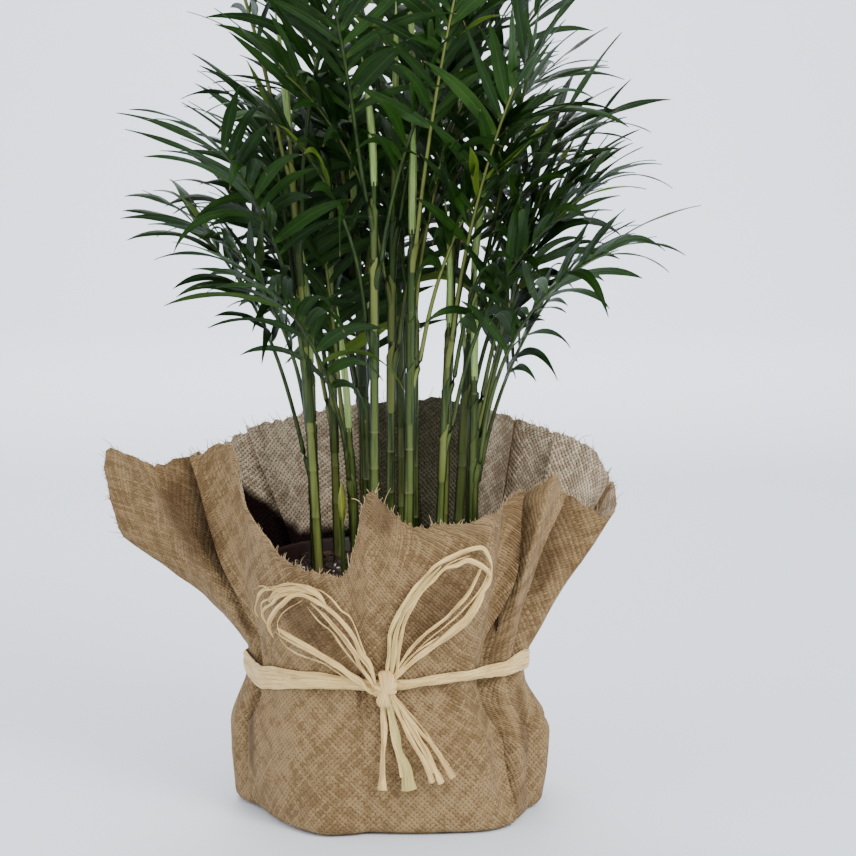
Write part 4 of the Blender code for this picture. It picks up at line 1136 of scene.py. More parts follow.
def new_form():
    """An empty mesh whose points carry the pattern coordinates that materials read."""
    bm = bmesh.new()
    bm.verts.layers.float_vector.new("pattern")
    return bm


def skin(bm, rows, kind=0):
    """Faces between rows of points that each run round the body."""
    for low, high in zip(rows, rows[1:]):
        for k in range(len(low)):
            j = (k + 1) % len(low)
            bm.faces.new((low[k], low[j], high[j], high[k])).material_index = kind


def fan(bm, middle, ring, kind=0):
    """Triangles from a middle point to each side of a ring."""
    for k in range(len(ring)):
        bm.faces.new((middle, ring[k - 1], ring[k])).material_index = kind


def sweep(bm, rings, marks, kind=0, caps=True):
    """Join rings of points into a closed skin. marks gives each point's pattern coordinates."""
    layer = bm.verts.layers.float_vector["pattern"]
    rows = []
    for ring, ring_marks in zip(rings, marks):
        rows.append([bm.verts.new(point) for point in ring])
        for vert, mark in zip(rows[-1], ring_marks):
            vert[layer] = mark
    skin(bm, rows, kind)
    if caps:
        bm.faces.new(rows[0][::-1]).material_index = kind
        bm.faces.new(rows[-1]).material_index = kind


def mesh_object(name, bm, materials=()):
    """An object in the scene with the mesh that was made, and its materials."""
    mesh = bpy.data.meshes.new(name)
    bm.to_mesh(mesh)
    bm.free()
    for made in materials:
        mesh.materials.append(made)
    mesh.shade_smooth()
    return link_object(name, mesh)


def link_object(name, data):
    """A new object in the scene."""
    made = bpy.data.objects.new(name, data)
    bpy.context.scene.collection.objects.link(made)
    return made


def place_form(name, bm, materials, nodes=(), sharp=60):
    """Turn a mesh under construction into a piece of the object that rides on its body."""
    bmesh.ops.recalc_face_normals(bm, faces=bm.faces)
    piece = mesh_object(name, bm, materials)
    piece.data.set_sharp_from_angle(angle=math.radians(sharp))
    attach(piece, "root")
    if nodes:
        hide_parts(*nodes)
    return piece


def ring_round(centre, side, normal, half_width, half_depth, count):
    """Points of an ellipse round a centre."""
    turns = [2 * math.pi * k / count for k in range(count)]
    return [centre + side * half_width * math.cos(turn) + normal * half_depth * math.sin(turn)
            for turn in turns]


def grow_blade(bm, leaf, rng):
    """One leaflet: a thin arched blade with a raised midrib, lightly pleated and curved to one side."""
    tone = rng.random()
    phase = rng.uniform(0, math.tau)
    sickle = rng.uniform(*BLADE_SICKLE) * leaf["length"]
    shares = [k / BLADE_STEPS for k in range(BLADE_STEPS + 1)]
    rings, marks = [], []
    for share, (centre, side, normal, half) in zip(shares, blade_frames(leaf, shares)):
        centre = centre + side * sickle * share * share
        wave = BLADE_WAVE * math.sin(BLADE_WAVES * share + phase) * math.sin(math.pi * share)
        half = max(half, BLADE_TIP_HALF)
        upper, lower = [], []
        for k, x in enumerate(BLADE_ACROSS):
            rise = BLADE_FOLD * half * (1 - abs(x)) + wave * x + BLADE_PLEAT * half * (k % 2)
            upper.append(centre + side * half * x + normal * (rise + BLADE_THICKNESS))
            lower.append(centre + side * half * x + normal * rise)
        rings.append(upper + lower[-2:0:-1])
        marks.append([(share, x, tone) for x in BLADE_ACROSS + BLADE_ACROSS[-2:0:-1]])
    sweep(bm, rings, marks)


def grow_stalk(bm, cane, frond, rng):
    """A frond's stalk, from the sheath it springs from to its tip."""
    tone = rng.random()
    height = frond["height"]
    out = outward(frond["face"])
    length = frond["petiole"] + frond["rachis"]
    rings, marks = [], []
    for below, reach, size in STALK_ROOT:
        centre = cane_point(cane, height - below) + out * (cane_radius(cane, height) + reach)
        side = out.cross(cane["axis"]).normalized()
        rings.append(ring_round(centre, side, out, size, size * ROOT_DEPTH, STALK_SIDES))
        marks.append([(height, 0.0, tone)] * STALK_SIDES)
    for k in range(int(length / STALK_STEP) + 1):
        distance = k * STALK_STEP
        point, _, side, normal = frame_at(frond["path"], distance)
        half = half_size(frond, distance)
        rings.append(ring_round(point, side, normal, half, half * STALK_DEPTH, STALK_SIDES))
        marks.append([(height + distance, 0.0, tone)] * STALK_SIDES)
    sweep(bm, rings, marks, 1)


def grow_sheath(bm, cane, frond, rng):
    """The tube that clasps the cane under a frond, with a slanted mouth that rises into the stalk."""
    tone = rng.random()
    length = rng.uniform(*SHEATH_LENGTH)
    rings, marks = [], []
    for share, proud in SHEATH_PROFILE:
        below = length * (1 - share)
        height = frond["height"] - below
        radius = cane_radius(cane, height) + proud
        ring = []
        for k in range(CANE_ROUND):
            azimuth = 360 * k / CANE_ROUND
            slant = SHEATH_SLANT * math.cos(math.radians(azimuth - frond["face"])) * share ** 3
            ring.append(cane_point(cane, height + slant) + outward(azimuth) * radius)
        rings.append(ring)
        marks.append([(height, SHEATH_RING if share == 0 else 0.0, tone)] * CANE_ROUND)
    sweep(bm, rings, marks, 1, caps=False)


def grow_cane(bm, cane, rng):
    """A cane with its leaf scars, from its foot in the soil to its crown."""
    tone = rng.random()
    scars = [PLANTING_DEPTH + SCAR_START]
    while scars[-1] < cane["length"]:
        scars.append(scars[-1] + rng.uniform(*SCAR_SPACING))
    heights = [CANE_STEP * k for k in range(int(cane["length"] / CANE_STEP))]
    for scar in scars[:-1]:
        heights += [scar - SCAR_HALF, scar, scar + SCAR_HALF]
    heights.append(cane["length"])
    rings, marks = [], []
    for height in sorted(heights):
        near = min(abs(height - scar) for scar in scars)
        scar = 1.0 if near < SCAR_HALF / 2 else 0.0
        radius = cane_radius(cane, height) + SCAR_PROUD * scar
        rings.append([cane_point(cane, height) + outward(360 * k / CANE_ROUND) * radius
                      for k in range(CANE_ROUND)])
        marks.append([(height - PLANTING_DEPTH, scar, tone)] * CANE_ROUND)
    sweep(bm, rings, marks, 1)


def grow_spear(bm, cane, rng):
    """The newest leaf, still folded into a spear."""
    lean = Vector((rng.uniform(-1, 1), rng.uniform(-1, 1), 0)) * SPEAR_BEND
    base = cane_radius(cane, cane["length"])
    rings = []
    for k in range(SPEAR_STEPS + 1):
        share = k / SPEAR_STEPS
        height = cane["length"] - SPEAR_SUNK + SPEAR_LENGTH * share
        centre = cane_point(cane, height) + lean * share * share
        radius = base * (1 + SPEAR_BULGE * math.sin(math.pi * share)) * (1 - share ** 3) + SPEAR_TIP
        rings.append([centre + outward(360 * j / SPEAR_SIDES) * radius * (1.0 if j % 2 else SPEAR_CREASE)
                      for j in range(SPEAR_SIDES)])
    sweep(bm, rings, [[(0, 0, 0)] * SPEAR_SIDES] * len(rings), 2)


def build_palms():
    """Every leafy stem, finer than its solid, with all its leaflets."""
    materials = [blade_material(), stalk_material(), spear_material()]
    for number, seedling in enumerate(plan_palm()):
        cane = seedling["cane"]
        rng = random.Random(LOOKS_SEED + number)
        bm = new_form()
        grow_cane(bm, cane, rng)
        grow_spear(bm, cane, rng)
        for frond in seedling["fronds"]:
            grow_sheath(bm, cane, frond, rng)
            grow_stalk(bm, cane, frond, rng)
            for leaf in frond["leaflets"]:
                grow_blade(bm, leaf, rng)
        place_form(f"palm_{number + 1}", bm, materials, [f"leafy_stem_{number + 1}"])


def build_shoot():
    """A young shoot between the stems at the front: a short stem and its first leaf, still folded."""
    foot, top = Vector(SHOOT_FOOT), Vector(SHOOT_TOP)
    axis = (top - foot).normalized()
    side = axis.orthogonal().normalized()
    rings = []
    for k in range(SHOOT_STEPS + 1):
        share = k / SHOOT_STEPS
        leaf = math.sin(math.pi * max(0.0, (share - SHOOT_LEAF_START) / (1 - SHOOT_LEAF_START)))
        wide = SHOOT_STEM * (1 - share) + SHOOT_LEAF * leaf + BLADE_TIP_HALF
        deep = SHOOT_STEM * (1 - share) + SHOOT_LEAF * SHOOT_FLATNESS * leaf + BLADE_TIP_HALF
        rings.append(ring_round(foot.lerp(top, share), side, axis.cross(side), wide, deep, SPEAR_SIDES))
    bm = new_form()
    sweep(bm, rings, [[(0, 0, 0)] * SPEAR_SIDES] * len(rings))
    leaf_z = foot.z + (top.z - foot.z) * SHOOT_LEAF_START
    place_form("young_shoot", bm, [shoot_material(leaf_z)])


def curve_value(values, place):
    """A closed Catmull-Rom curve through equally spaced values."""
    count = len(values)
    index = math.floor(place)
    t = place - index
    a, b, c, d = (values[(index + k) % count] for k in (-1, 0, 1, 2))
    return curved(a, b, c, d, t)


def curved(a, b, c, d, t):
    """A Catmull-Rom curve's value between b and c."""
    return b + 0.5 * t * (c - a + t * (2 * a - 5 * b + 4 * c - d + t * (3 * (b - c) + d - a)))


COLUMN_COUNT = len(WRAP_COLUMNS)
AZIMUTH_OFFSETS = [row[0] - 360 * i / COLUMN_COUNT for i, row in enumerate(WRAP_COLUMNS)]
COLUMN_SIZES = [[row[k] * MM for row in WRAP_COLUMNS] for k in range(1, 7)]


def wrap_column(place):
    """The sizes of the wrap at one place round it: azimuth, three radii and the edge point."""
    tie, belly, base, x, y, z = (curve_value(values, place) for values in COLUMN_SIZES)
    azimuth = curve_value(AZIMUTH_OFFSETS, place) + 360 * place / COLUMN_COUNT
    return azimuth, tie, belly, base, Vector((x, y, z))


def at_height(values, height):
    """A number that is given at PLEAT_HEIGHTS, at any height."""
    for k in range(len(values) - 1):
        low, high = PLEAT_HEIGHTS[k], PLEAT_HEIGHTS[k + 1]
        if height <= high:
            return values[k] + (values[k + 1] - values[k]) * eased((height - low) / (high - low))
    return values[-1]


def leaned_place(place, height):
    """Where a column's place is at a height, because the pleats' lines lean."""
    before = [pleat for pleat in PLEATS if pleat[0] <= place] or [PLEATS[-1]]
    after = [pleat for pleat in PLEATS if pleat[0] > place] or [PLEATS[0]]
    low, high = before[-1], after[0]
    turn_low = COLUMN_COUNT if low[0] > place else 0
    turn_high = COLUMN_COUNT if high[0] <= place else 0
    share = (place - low[0] + turn_low) / (high[0] + turn_high - low[0] + turn_low)
    start = at_height(low[2], height) - turn_low
    end = at_height(high[2], height) + turn_high
    return start + (end - start) * share


def plain_point(place, height):
    """A point of the cloth before its pleats. Height is 0 at the base, 1 at the neck and 2 at the edge."""
    azimuth, tie, belly, base, edge = wrap_column(leaned_place(place, height))
    direction = outward(azimuth)
    if height > 1:
        return (direction * tie + UP * NECK_Z).lerp(edge, height - 1)
    z = height * NECK_Z
    if z < BELLY_Z:
        radius = base + (belly - base) * math.sin(0.5 * math.pi * z / BELLY_Z)
    else:
        radius = belly + (tie - belly) * eased((z - BELLY_Z) / (TIE_Z - TIE_HALF_HEIGHT - BELLY_Z))
    if z < BASE_EDGE_RADIUS:
        sunk = BASE_EDGE_RADIUS - z
        radius -= BASE_EDGE_RADIUS - math.sqrt(BASE_EDGE_RADIUS ** 2 - sunk ** 2)
    return direction * radius + UP * z


def past_line(place, line, side):
    """How many columns a place lies past a pleat's line, on the lower layer's side."""
    return ((place - line + COLUMN_COUNT / 2) % COLUMN_COUNT - COLUMN_COUNT / 2) * side


def pleat_shift(place, layer, height):
    """How far the pleats move a point out of the cloth and along it. layer tells its side of a line."""
    out, aside = 0.0, 0.0
    for line, side, _, depths, spreads in PLEATS:
        depth = at_height(depths, height) * MM
        opened = clamped((height - PLEAT_OPENS) / PLEAT_OPENING)
        spread = spreads[0] + (spreads[1] - spreads[0]) * opened
        away = past_line(place, line, side)
        if away < 0 or (away == 0 and layer * side < 0):
            near = math.exp(away / PLEAT_LIP)
            out += depth * PLEAT_LIP_PROUD * near
            aside += side * depth * PLEAT_REACH * near
        else:
            near = math.exp(-away / spread)
            out -= depth * near
            aside -= side * depth * PLEAT_REACH * near * near
    return out, aside


def pleat_shade(place, layer, height):
    """How dark the painted shade in the folds makes a point, from 0 to 1."""
    found = 0.0
    for line, side, _, depths, _ in PLEATS:
        away = past_line(place, line, side)
        if away > 0 or (away == 0 and layer * side > 0):
            seen = max(0.0, away - PLEAT_HIDDEN * at_height(depths, height))
            found = max(found, PLEAT_DARKEST * math.exp(-seen / PLEAT_DARK))
    top, edge = PLEAT_HEIGHTS[-2:]
    return found * (1 - PLEAT_FADE * max(0.0, (height - top) / (edge - top)))


def front_shade(point):
    """How dark the loops, the flaps' hollows and the lower folds make the front, from 0 to 1."""
    found = 0.0
    if point.y < FRONT_Y:
        for x, z, half_length, half_width, turn, dark in FRONT_SHADES:
            angle = math.radians(turn)
            east, up = point.x / MM - x, point.z / MM - z
            along = (east * math.cos(angle) + up * math.sin(angle)) / half_length
            across = (up * math.cos(angle) - east * math.sin(angle)) / half_width
            found += dark * clamped(SHADE_SOFT * (1 - math.hypot(along, across)))
    return found


def wrinkle(point, place, height):
    """Small uneven creases, gathers beside the tie and the tie's own pinch."""
    out = sum(noise.noise(point * scale) * size for scale, size in WRINKLES)
    out *= min(1.0, height / WRINKLES_FULL)
    from_tie = abs(point.z - TIE_Z) if height < GATHERS_END else 1.0
    gather = noise.noise(Vector((place * GATHERS_PER_COLUMN, height * GATHERS_PER_HEIGHT, 7.0)))
    out += GATHER_DEPTH * 2 * gather * math.exp(-from_tie / GATHER_FADE)
    return out - PINCH_DEPTH * math.exp(-(from_tie / PINCH_HALF) ** 2)


def pot_keep_out(z):
    """The least radius that the cloth's outer face keeps round the pot and its rim."""
    share = min(1.0, z / POT_TOP_Z)
    radius = POT_BASE_RADIUS + (POT_BODY_RADIUS - POT_BASE_RADIUS) * share
    rim_start = POT_TOP_Z - POT_RIM_HEIGHT - RIM_RUN
    if z > rim_start:
        radius += (POT_RIM_RADIUS - radius) * min(1.0, (z - rim_start) / RIM_RUN)
    radius -= max(0.0, z - POT_TOP_Z) * RIM_SLOPE
    return radius + CLOTH_THICKNESS + POT_CLEAR


def peak_fold(place, height):
    """The front corner of the sheet bends forward, and the strip beside it back, with a crease between."""
    across = (place + COLUMN_COUNT / 2) % COLUMN_COUNT - COLUMN_COUNT / 2
    rise = max(0.0, (height - PEAK_START) / (2 - PEAK_START))
    forward = math.exp(-(across / PEAK_PLACES) ** 2)
    back = clamped(across / PEAK_CREASE) * math.exp(-(across / PEAK_FLAP) ** 4)
    shift = Vector((0, PEAK_BACK * back - PEAK_FOLD * forward, -PEAK_FOLD * PEAK_DROP * forward))
    return shift * rise ** PEAK_POWER


def edge_dip(place, height):
    """How much lower the cloth is pulled towards its cut edge at the front left."""
    rise = max(0.0, (height - DIP_START) / (2 - DIP_START))
    return DIP_DEPTH * rise * math.exp(-((place - DIP_PLACE) / DIP_SPREAD) ** 2)


def cloth_columns():
    """The columns of the sheet, as (place, layer). A pleat's line has two, one on either layer."""
    lines = [pleat[0] for pleat in PLEATS]
    columns = []
    for k in range(COLUMN_COUNT * CLOTH_STEPS):
        place = k / CLOTH_STEPS
        columns += [(place, -1), (place, 1)] if place in lines else [(place, 0)]
    return columns


def cloth_heights():
    """The heights of the sheet's rows above the floor: its rounded base edge, its wall and its flare."""
    start = BASE_EDGE_RADIUS / NECK_Z
    edge = [math.sin(0.5 * math.pi * k / BASE_EDGE_STEPS) * start for k in range(BASE_EDGE_STEPS)]
    wall = [start + (1 - start) * k / WALL_STEPS for k in range(WALL_STEPS)]
    return edge + wall + [1 + k / FLARE_STEPS for k in range(FLARE_STEPS + 1)]


def cloth_point(place, layer, height, ragged):
    """A point of the sheet's outer face, with its normal before the pleats."""
    point = plain_point(place, height)
    along = plain_point(place + COLUMN_NEAR, height) - plain_point(place - COLUMN_NEAR, height)
    along.normalize()
    low, high = max(LOWEST_HEIGHT, height - HEIGHT_NEAR), min(2.0, height + HEIGHT_NEAR)
    rise = (plain_point(place, high) - plain_point(place, low)).normalized()
    normal = along.cross(rise).normalized()
    out, aside = pleat_shift(place, layer, height)
    out += wrinkle(point, place, height)
    grip = min(1.0, point.z / BASE_EDGE_RADIUS)
    point = point + normal * out * grip + along * aside * grip
    point += peak_fold(place, height)
    point -= rise * edge_dip(place, height)
    point += rise * EDGE_RAGGED * ragged * max(0.0, (height - 2 + EDGE_SHARE) / EDGE_SHARE)
    level = Vector((point.x, point.y))
    over = level.length - pot_keep_out(point.z)
    pushed = (math.hypot(over, POT_SOFT) - over) / 2
    point.x, point.y = level * (1 + pushed / level.length)
    point.z = max(0.0, point.z)
    return point, normal


def cloth_grid():
    """The sheet's outer face: its columns, its heights, and its points and normals, one list a height."""
    columns, heights = cloth_columns(), cloth_heights()
    rng = random.Random(LOOKS_SEED)
    ragged = [rng.uniform(-1, 1) for _ in columns]
    rows, normals = [], []
    for height in heights:
        found = [cloth_point(place, layer, height, notch) for (place, layer), notch in zip(columns, ragged)]
        rows.append([point for point, _ in found])
        normals.append([normal for _, normal in found])
    return columns, heights, rows, normals


def thread_coordinates(columns, rows):
    """Each point's place along and across the threads, in metres, laid out panel by panel."""
    below = [0.0] * len(columns)
    coordinates = []
    for number, row in enumerate(rows):
        if number:
            below = [length + (point - old).length
                     for length, point, old in zip(below, row, rows[number - 1])]
        round_it = [0.0]
        for old, point in zip(row, row[1:]):
            round_it.append(round_it[-1] + (point - old).length)
        found = []
        whole = round_it[-1] + (row[0] - row[-1]).length
        for k, (place, layer) in enumerate(columns):
            _, middle, turn = panel_of(place, layer)
            centre = next(j for j, column in enumerate(columns) if column[0] == middle)
            across = (round_it[k] - round_it[centre] + whole / 2) % whole - whole / 2
            angle = math.radians(turn)
            found.append((across * math.cos(angle) - below[k] * math.sin(angle),
                          across * math.sin(angle) + below[k] * math.cos(angle)))
        coordinates.append(found)
    return coordinates


def panel_of(place, layer):
    """The panel that a column belongs to: its first column, its middle one and its weave's turn."""
    found = PANELS[-1]
    for panel in PANELS:
        if place > panel[0] or (place == panel[0] and layer > 0):
            found = panel
    return found


def build_wrap():
    """The burlap: one sheet, flat under the pot, gathered up round it and cinched, with frayed edges.

    Returns its rows of points and its surface, for the raffia to be laid on.
    """
    columns, heights, rows, normals = cloth_grid()
    bm = new_form()
    layer = bm.verts.layers.float_vector["pattern"]
    outer = []
    for share in FLOOR_SHARES:
        outer.append([bm.verts.new((point.x * share, point.y * share, 0)) for point in rows[0]])
        for vert in outer[-1]:
            vert[layer] = (vert.co.x, vert.co.y, 0.0)
    for row, threads, height in zip(rows, thread_coordinates(columns, rows), heights):
        outer.append([bm.verts.new(point) for point in row])
        for vert, (u, v), (place, side) in zip(outer[-1], threads, columns):
            # The pattern's third number is the painted shade of the folds and of the front.
            vert[layer] = (u, v, max(pleat_shade(place, side, height), front_shade(vert.co)))
    middle = bm.verts.new((0, 0, 0))
    fan(bm, middle, outer[0][::-1])
    skin(bm, outer)
    bm.normal_update()
    edge = [(vert.co.copy(), vert.normal.copy(), (vert.co - below.co).normalized())
            for vert, below in zip(outer[-1], outer[-3])]
    inner = add_inside(bm, outer, middle, [[-UP] * len(columns)] * len(FLOOR_SHARES) + normals)
    skin(bm, [outer[-1], inner[-1]])
    cloths = [burlap_material(), burlap_inside_material()]
    wrap = place_form("burlap_cloth", bm, cloths, ["burlap_wrap"], sharp=80)
    fringe = build_fringe(edge)
    mesh = wrap.data
    surface = BVHTree.FromPolygons([v.co for v in mesh.vertices], [p.vertices for p in mesh.polygons])
    return rows, surface


def add_inside(bm, outer, middle, normals):
    """The inner face of the sheet, a cloth's thickness inside the outer one."""
    layer = bm.verts.layers.float_vector["pattern"]
    inner = []
    for row, row_normals in zip(outer, normals):
        ways = [(vert.normal + normal).normalized() for vert, normal in zip(row, row_normals)]
        inner.append([bm.verts.new(vert.co - way * CLOTH_THICKNESS) for vert, way in zip(row, ways)])
        for vert, old in zip(inner[-1], row):
            vert[layer] = old[layer]
    fan(bm, bm.verts.new(middle.co + UP * CLOTH_THICKNESS), inner[0], 1)
    skin(bm, inner[::-1], 1)
    return inner


def build_fringe(edge):
    """Frayed threads along the sheet's cut edge."""
    rng = random.Random(LOOKS_SEED + 1)
    bm = new_form()
    count = len(edge)
    for k in range(count):
        start, normal, rise = edge[k]
        end = edge[(k + 1) % count][0]
        across = end - start
        threads = across.length / FRINGE_STEP
        for _ in range(int(threads + rng.random())):
            root = start + across * rng.random() - rise * FRINGE_SUNK - normal * CLOTH_THICKNESS / 2
            grow_thread(bm, root, rise, normal, across.normalized(), rng)
    return place_form("burlap_fringe", bm, [fringe_material()])


def grow_thread(bm, root, rise, normal, across, rng):
    """One frayed thread, curling away from the cut edge."""
    pick = rng.random()
    low, high = next((low, high) for share, low, high in FRINGE_LENGTHS if pick <= share)
    length = rng.uniform(low, high)
    heading = (rise + across * rng.uniform(*FRINGE_ASIDE) + normal * rng.uniform(*FRINGE_OUT)).normalized()
    curl = across * rng.uniform(-1, 1) + normal * rng.uniform(*FRINGE_CURL_OUT) - UP * FRINGE_HANG
    tone = rng.random()
    point = root
    rings, marks = [], []
    for k in range(FRINGE_STEPS + 1):
        share = k / FRINGE_STEPS
        way = (heading + curl * FRINGE_CURL * share * length / FRINGE_CURL_LENGTH).normalized()
        side = way.orthogonal().normalized()
        radius = FRINGE_RADIUS * (1 - FRINGE_THINNER * share)
        rings.append(ring_round(point, side, way.cross(side), radius, radius, FRINGE_SIDES))
        marks.append([(tone, share, 0)] * FRINGE_SIDES)
        point = point + way * length / FRINGE_STEPS
    sweep(bm, rings, marks)


def weave(tree, vector):
    """A plain weave: its height from 0 to 1, and the share of the surface where the warp is on top."""
    place = stretched(tree, vector, (math.pi / THREAD, math.pi / THREAD, 0.0))
    noisy = {"Vector": vector, "Scale": WAVER_SCALE, "Detail": 2.0}
    waver = node(tree, "TexNoise", {}, noisy).outputs["Color"]
    waver = node(tree, "VectorMath", {"operation": "SUBTRACT"}, {0: waver, 1: (0.5, 0.5, 0.5)}).outputs[0]
    waver = stretched(tree, waver, (THREAD_WAVER, THREAD_WAVER, 0.0))
    place = node(tree, "VectorMath", {"operation": "ADD"}, {0: place, 1: waver}).outputs[0]
    split = node(tree, "SeparateXYZ", {}, {0: place}).outputs
    warp, weft = calc(tree, "SINE", split[0]), calc(tree, "SINE", split[1])
    over = times(tree, times(tree, warp, weft), THREAD_OVER)
    warp = calc(tree, "MULTIPLY_ADD", calc(tree, "ABSOLUTE", warp), THREAD_ROUND, over)
    weft = calc(tree, "SUBTRACT", times(tree, calc(tree, "ABSOLUTE", weft), THREAD_ROUND), over)
    on_top = smooth_share(tree, calc(tree, "SUBTRACT", warp, weft), *WARP_ENDS)
    return calc(tree, "MAXIMUM", warp, weft), on_top


def low_shadow_share(tree, place):
    """1 low down inside the wrap, where its shadow is painted dark, and 0 above."""
    x, _, z = node(tree, "SeparateXYZ", {}, {0: place}).outputs
    left = calc(tree, "MAXIMUM", calc(tree, "SUBTRACT", LOW_SHADOW_LEFT_X, x), 0.0)
    top = calc(tree, "MULTIPLY_ADD", left, LOW_SHADOW_RISE, LOW_SHADOW_TOP_Z)
    top = swayed(tree, top, noise_value(tree, place, LOW_SHADOW_SCALE), LOW_SHADOW_UNEVEN)
    low = smooth_share(tree, calc(tree, "SUBTRACT", z, top), *LOW_SHADOW_BORDER)
    return times(tree, low, smooth_share(tree, x, *LOW_SHADOW_END_X))


def stems_share(tree, place):
    """How dark the stems' painted shade makes the back of the wrap's inside."""
    x, y, _ = node(tree, "SeparateXYZ", {}, {0: place}).outputs
    aside = calc(tree, "ABSOLUTE", calc(tree, "SUBTRACT", x, STEMS_X))
    behind = smooth_share(tree, aside, STEMS_HALF + STEMS_FADE, STEMS_HALF)
    return times(tree, times(tree, behind, smooth_share(tree, y, *STEMS_BACK_Y)), STEMS_DARK)


def cloth_material(name, light, dark, gap, gap_width, bump, slubs, inside=False):
    """Woven jute: threads that vary in colour and thickness, with dark gaps between them."""
    made, tree = start_material(name, roughness=0.92, specular=0.15, sheen=0.03)
    vector, _, _, painted_shade = pattern_axes(tree)
    vector = stretched(tree, vector, (1.0, 1.0, 0.0))
    place = object_place(tree)
    height, warp = weave(tree, vector)
    warp_tone, weft_tone = (noise_value(tree, stretched(tree, vector, (x, y, 0.0)), 1.0, detail=2.0)
                            for x, y in ((TONE_ACROSS, TONE_ALONG), (TONE_ALONG, TONE_ACROSS)))
    tone = node(tree, "Mix", {"data_type": "FLOAT"}, {0: warp, 2: weft_tone, 3: warp_tone}).outputs[0]
    tone = swayed(tree, tone, noise_value(tree, place, PATCH_SCALE), PATCH_TONE)
    tone = swayed(tree, tone, noise_value(tree, vector, SLUB_SCALE), slubs)
    fuzz = noise_value(tree, vector, FUZZ_SCALE)
    depth = calc(tree, "MULTIPLY_ADD", fuzz, GAP_FUZZ, height)
    colour = covered(tree, covered(tree, dark, tone, LIGHT_ENDS, light), depth, (gap_width, GAP_WHOLE), gap)
    # Painted shade of the folds and the front; the inner face takes less of it, plus painted shade behind the
    # stems and a painted shadow low down.
    colour = blend_colours(tree, times(tree, painted_shade, INSIDE_FOLDS) if inside else painted_shade, colour, FOLD_SHADE)
    if inside:
        colour = blend_colours(tree, stems_share(tree, place), colour, STEMS_SHADE)
        colour = blend_colours(tree, low_shadow_share(tree, place), colour, PAINTED_LOW_SHADOW)
    height = calc(tree, "MULTIPLY_ADD", fuzz, BUMP_FUZZ, height)
    return end_material(made, colour, height, bump, CLOTH_BUMPS)


def burlap_material():
    """The wrap's outer face."""
    return cloth_material("burlap", BURLAP_LIGHT, BURLAP_DARK, BURLAP_GAP, gap_width=0.48, bump=0.0008,
                          slubs=0.75)


def burlap_inside_material():
    """The wrap's inner face, greyer and with wider gaps."""
    return cloth_material("burlap_inside", BURLAP_INSIDE, BURLAP_INSIDE_DARK, BURLAP_INSIDE_GAP,
                          gap_width=0.58, bump=0.0009, slubs=1.1, inside=True)


def fringe_material():
    """Loose jute threads."""
    made, tree = start_material("jute_thread", roughness=0.9)
    tone = pattern_axes(tree)[1]
    return end_material(made, blend_colours(tree, tone, FRINGE_COLOUR, BURLAP_LIGHT))


def smooth_route(points, per_span):
    """A Catmull-Rom curve through a route's points, with its ends kept."""
    padded = [points[0] * 2 - points[1]] + points + [points[-1] * 2 - points[-2]]
    found = []
    for a, b, c, d in zip(padded, padded[1:], padded[2:], padded[3:]):
        found += [curved(a, b, c, d, k / per_span) for k in range(per_span)]
    found.append(points[-1])
    return found


def knot_centre():
    """The middle of the knot, in front of the band."""
    return Vector((KNOT_X, -(wrap_column(KNOT_PLACE)[1] + KNOT_AWAY), TIE_Z + KNOT_RISE))


def lay_route(surface, route, proud, rng):
    """Lay an x, z route in mm on the front of the wrap. Near the knot it leaves from the knot's middle."""
    knot = knot_centre()
    places = [Vector((x, 0, z)) * MM for x, z in route]
    shaken = [place + Vector((rng.uniform(-1, 1), 0, rng.uniform(-1, 1))) * STRAND_SHAKE
              for place in places[1:-1]]
    points = []
    for place in smooth_route([places[0]] + shaken + [places[-1]], STRAND_STEPS):
        depth = min(surface.ray_cast(place + Vector((x, -RAY_START, 0)), Vector((0, 1, 0)))[0].y
                    for x in (-STRAND_REACH, 0, STRAND_REACH))
        near = (place - Vector((knot.x, 0, knot.z))).length
        away = proud + LOOP_LIFT * min(1.0, near / LIFT_REACH)
        beside = knot.y + (depth - away - knot.y) * eased((near - KNOT_REACH) / KNOT_FADE)
        level = min(depth - proud - STRAND_CLEAR, beside)
        points.append(place + Vector((0, level, 0)))
    for _ in range(STRAND_SMOOTHING):
        inner = [(a + b * 2 + c) / 4 for a, b, c in zip(points, points[1:], points[2:])]
        for old, point in zip(points[1:], inner):
            point.y = min(point.y, old.y)
        points = [points[0]] + inner + [points[-1]]
    return points


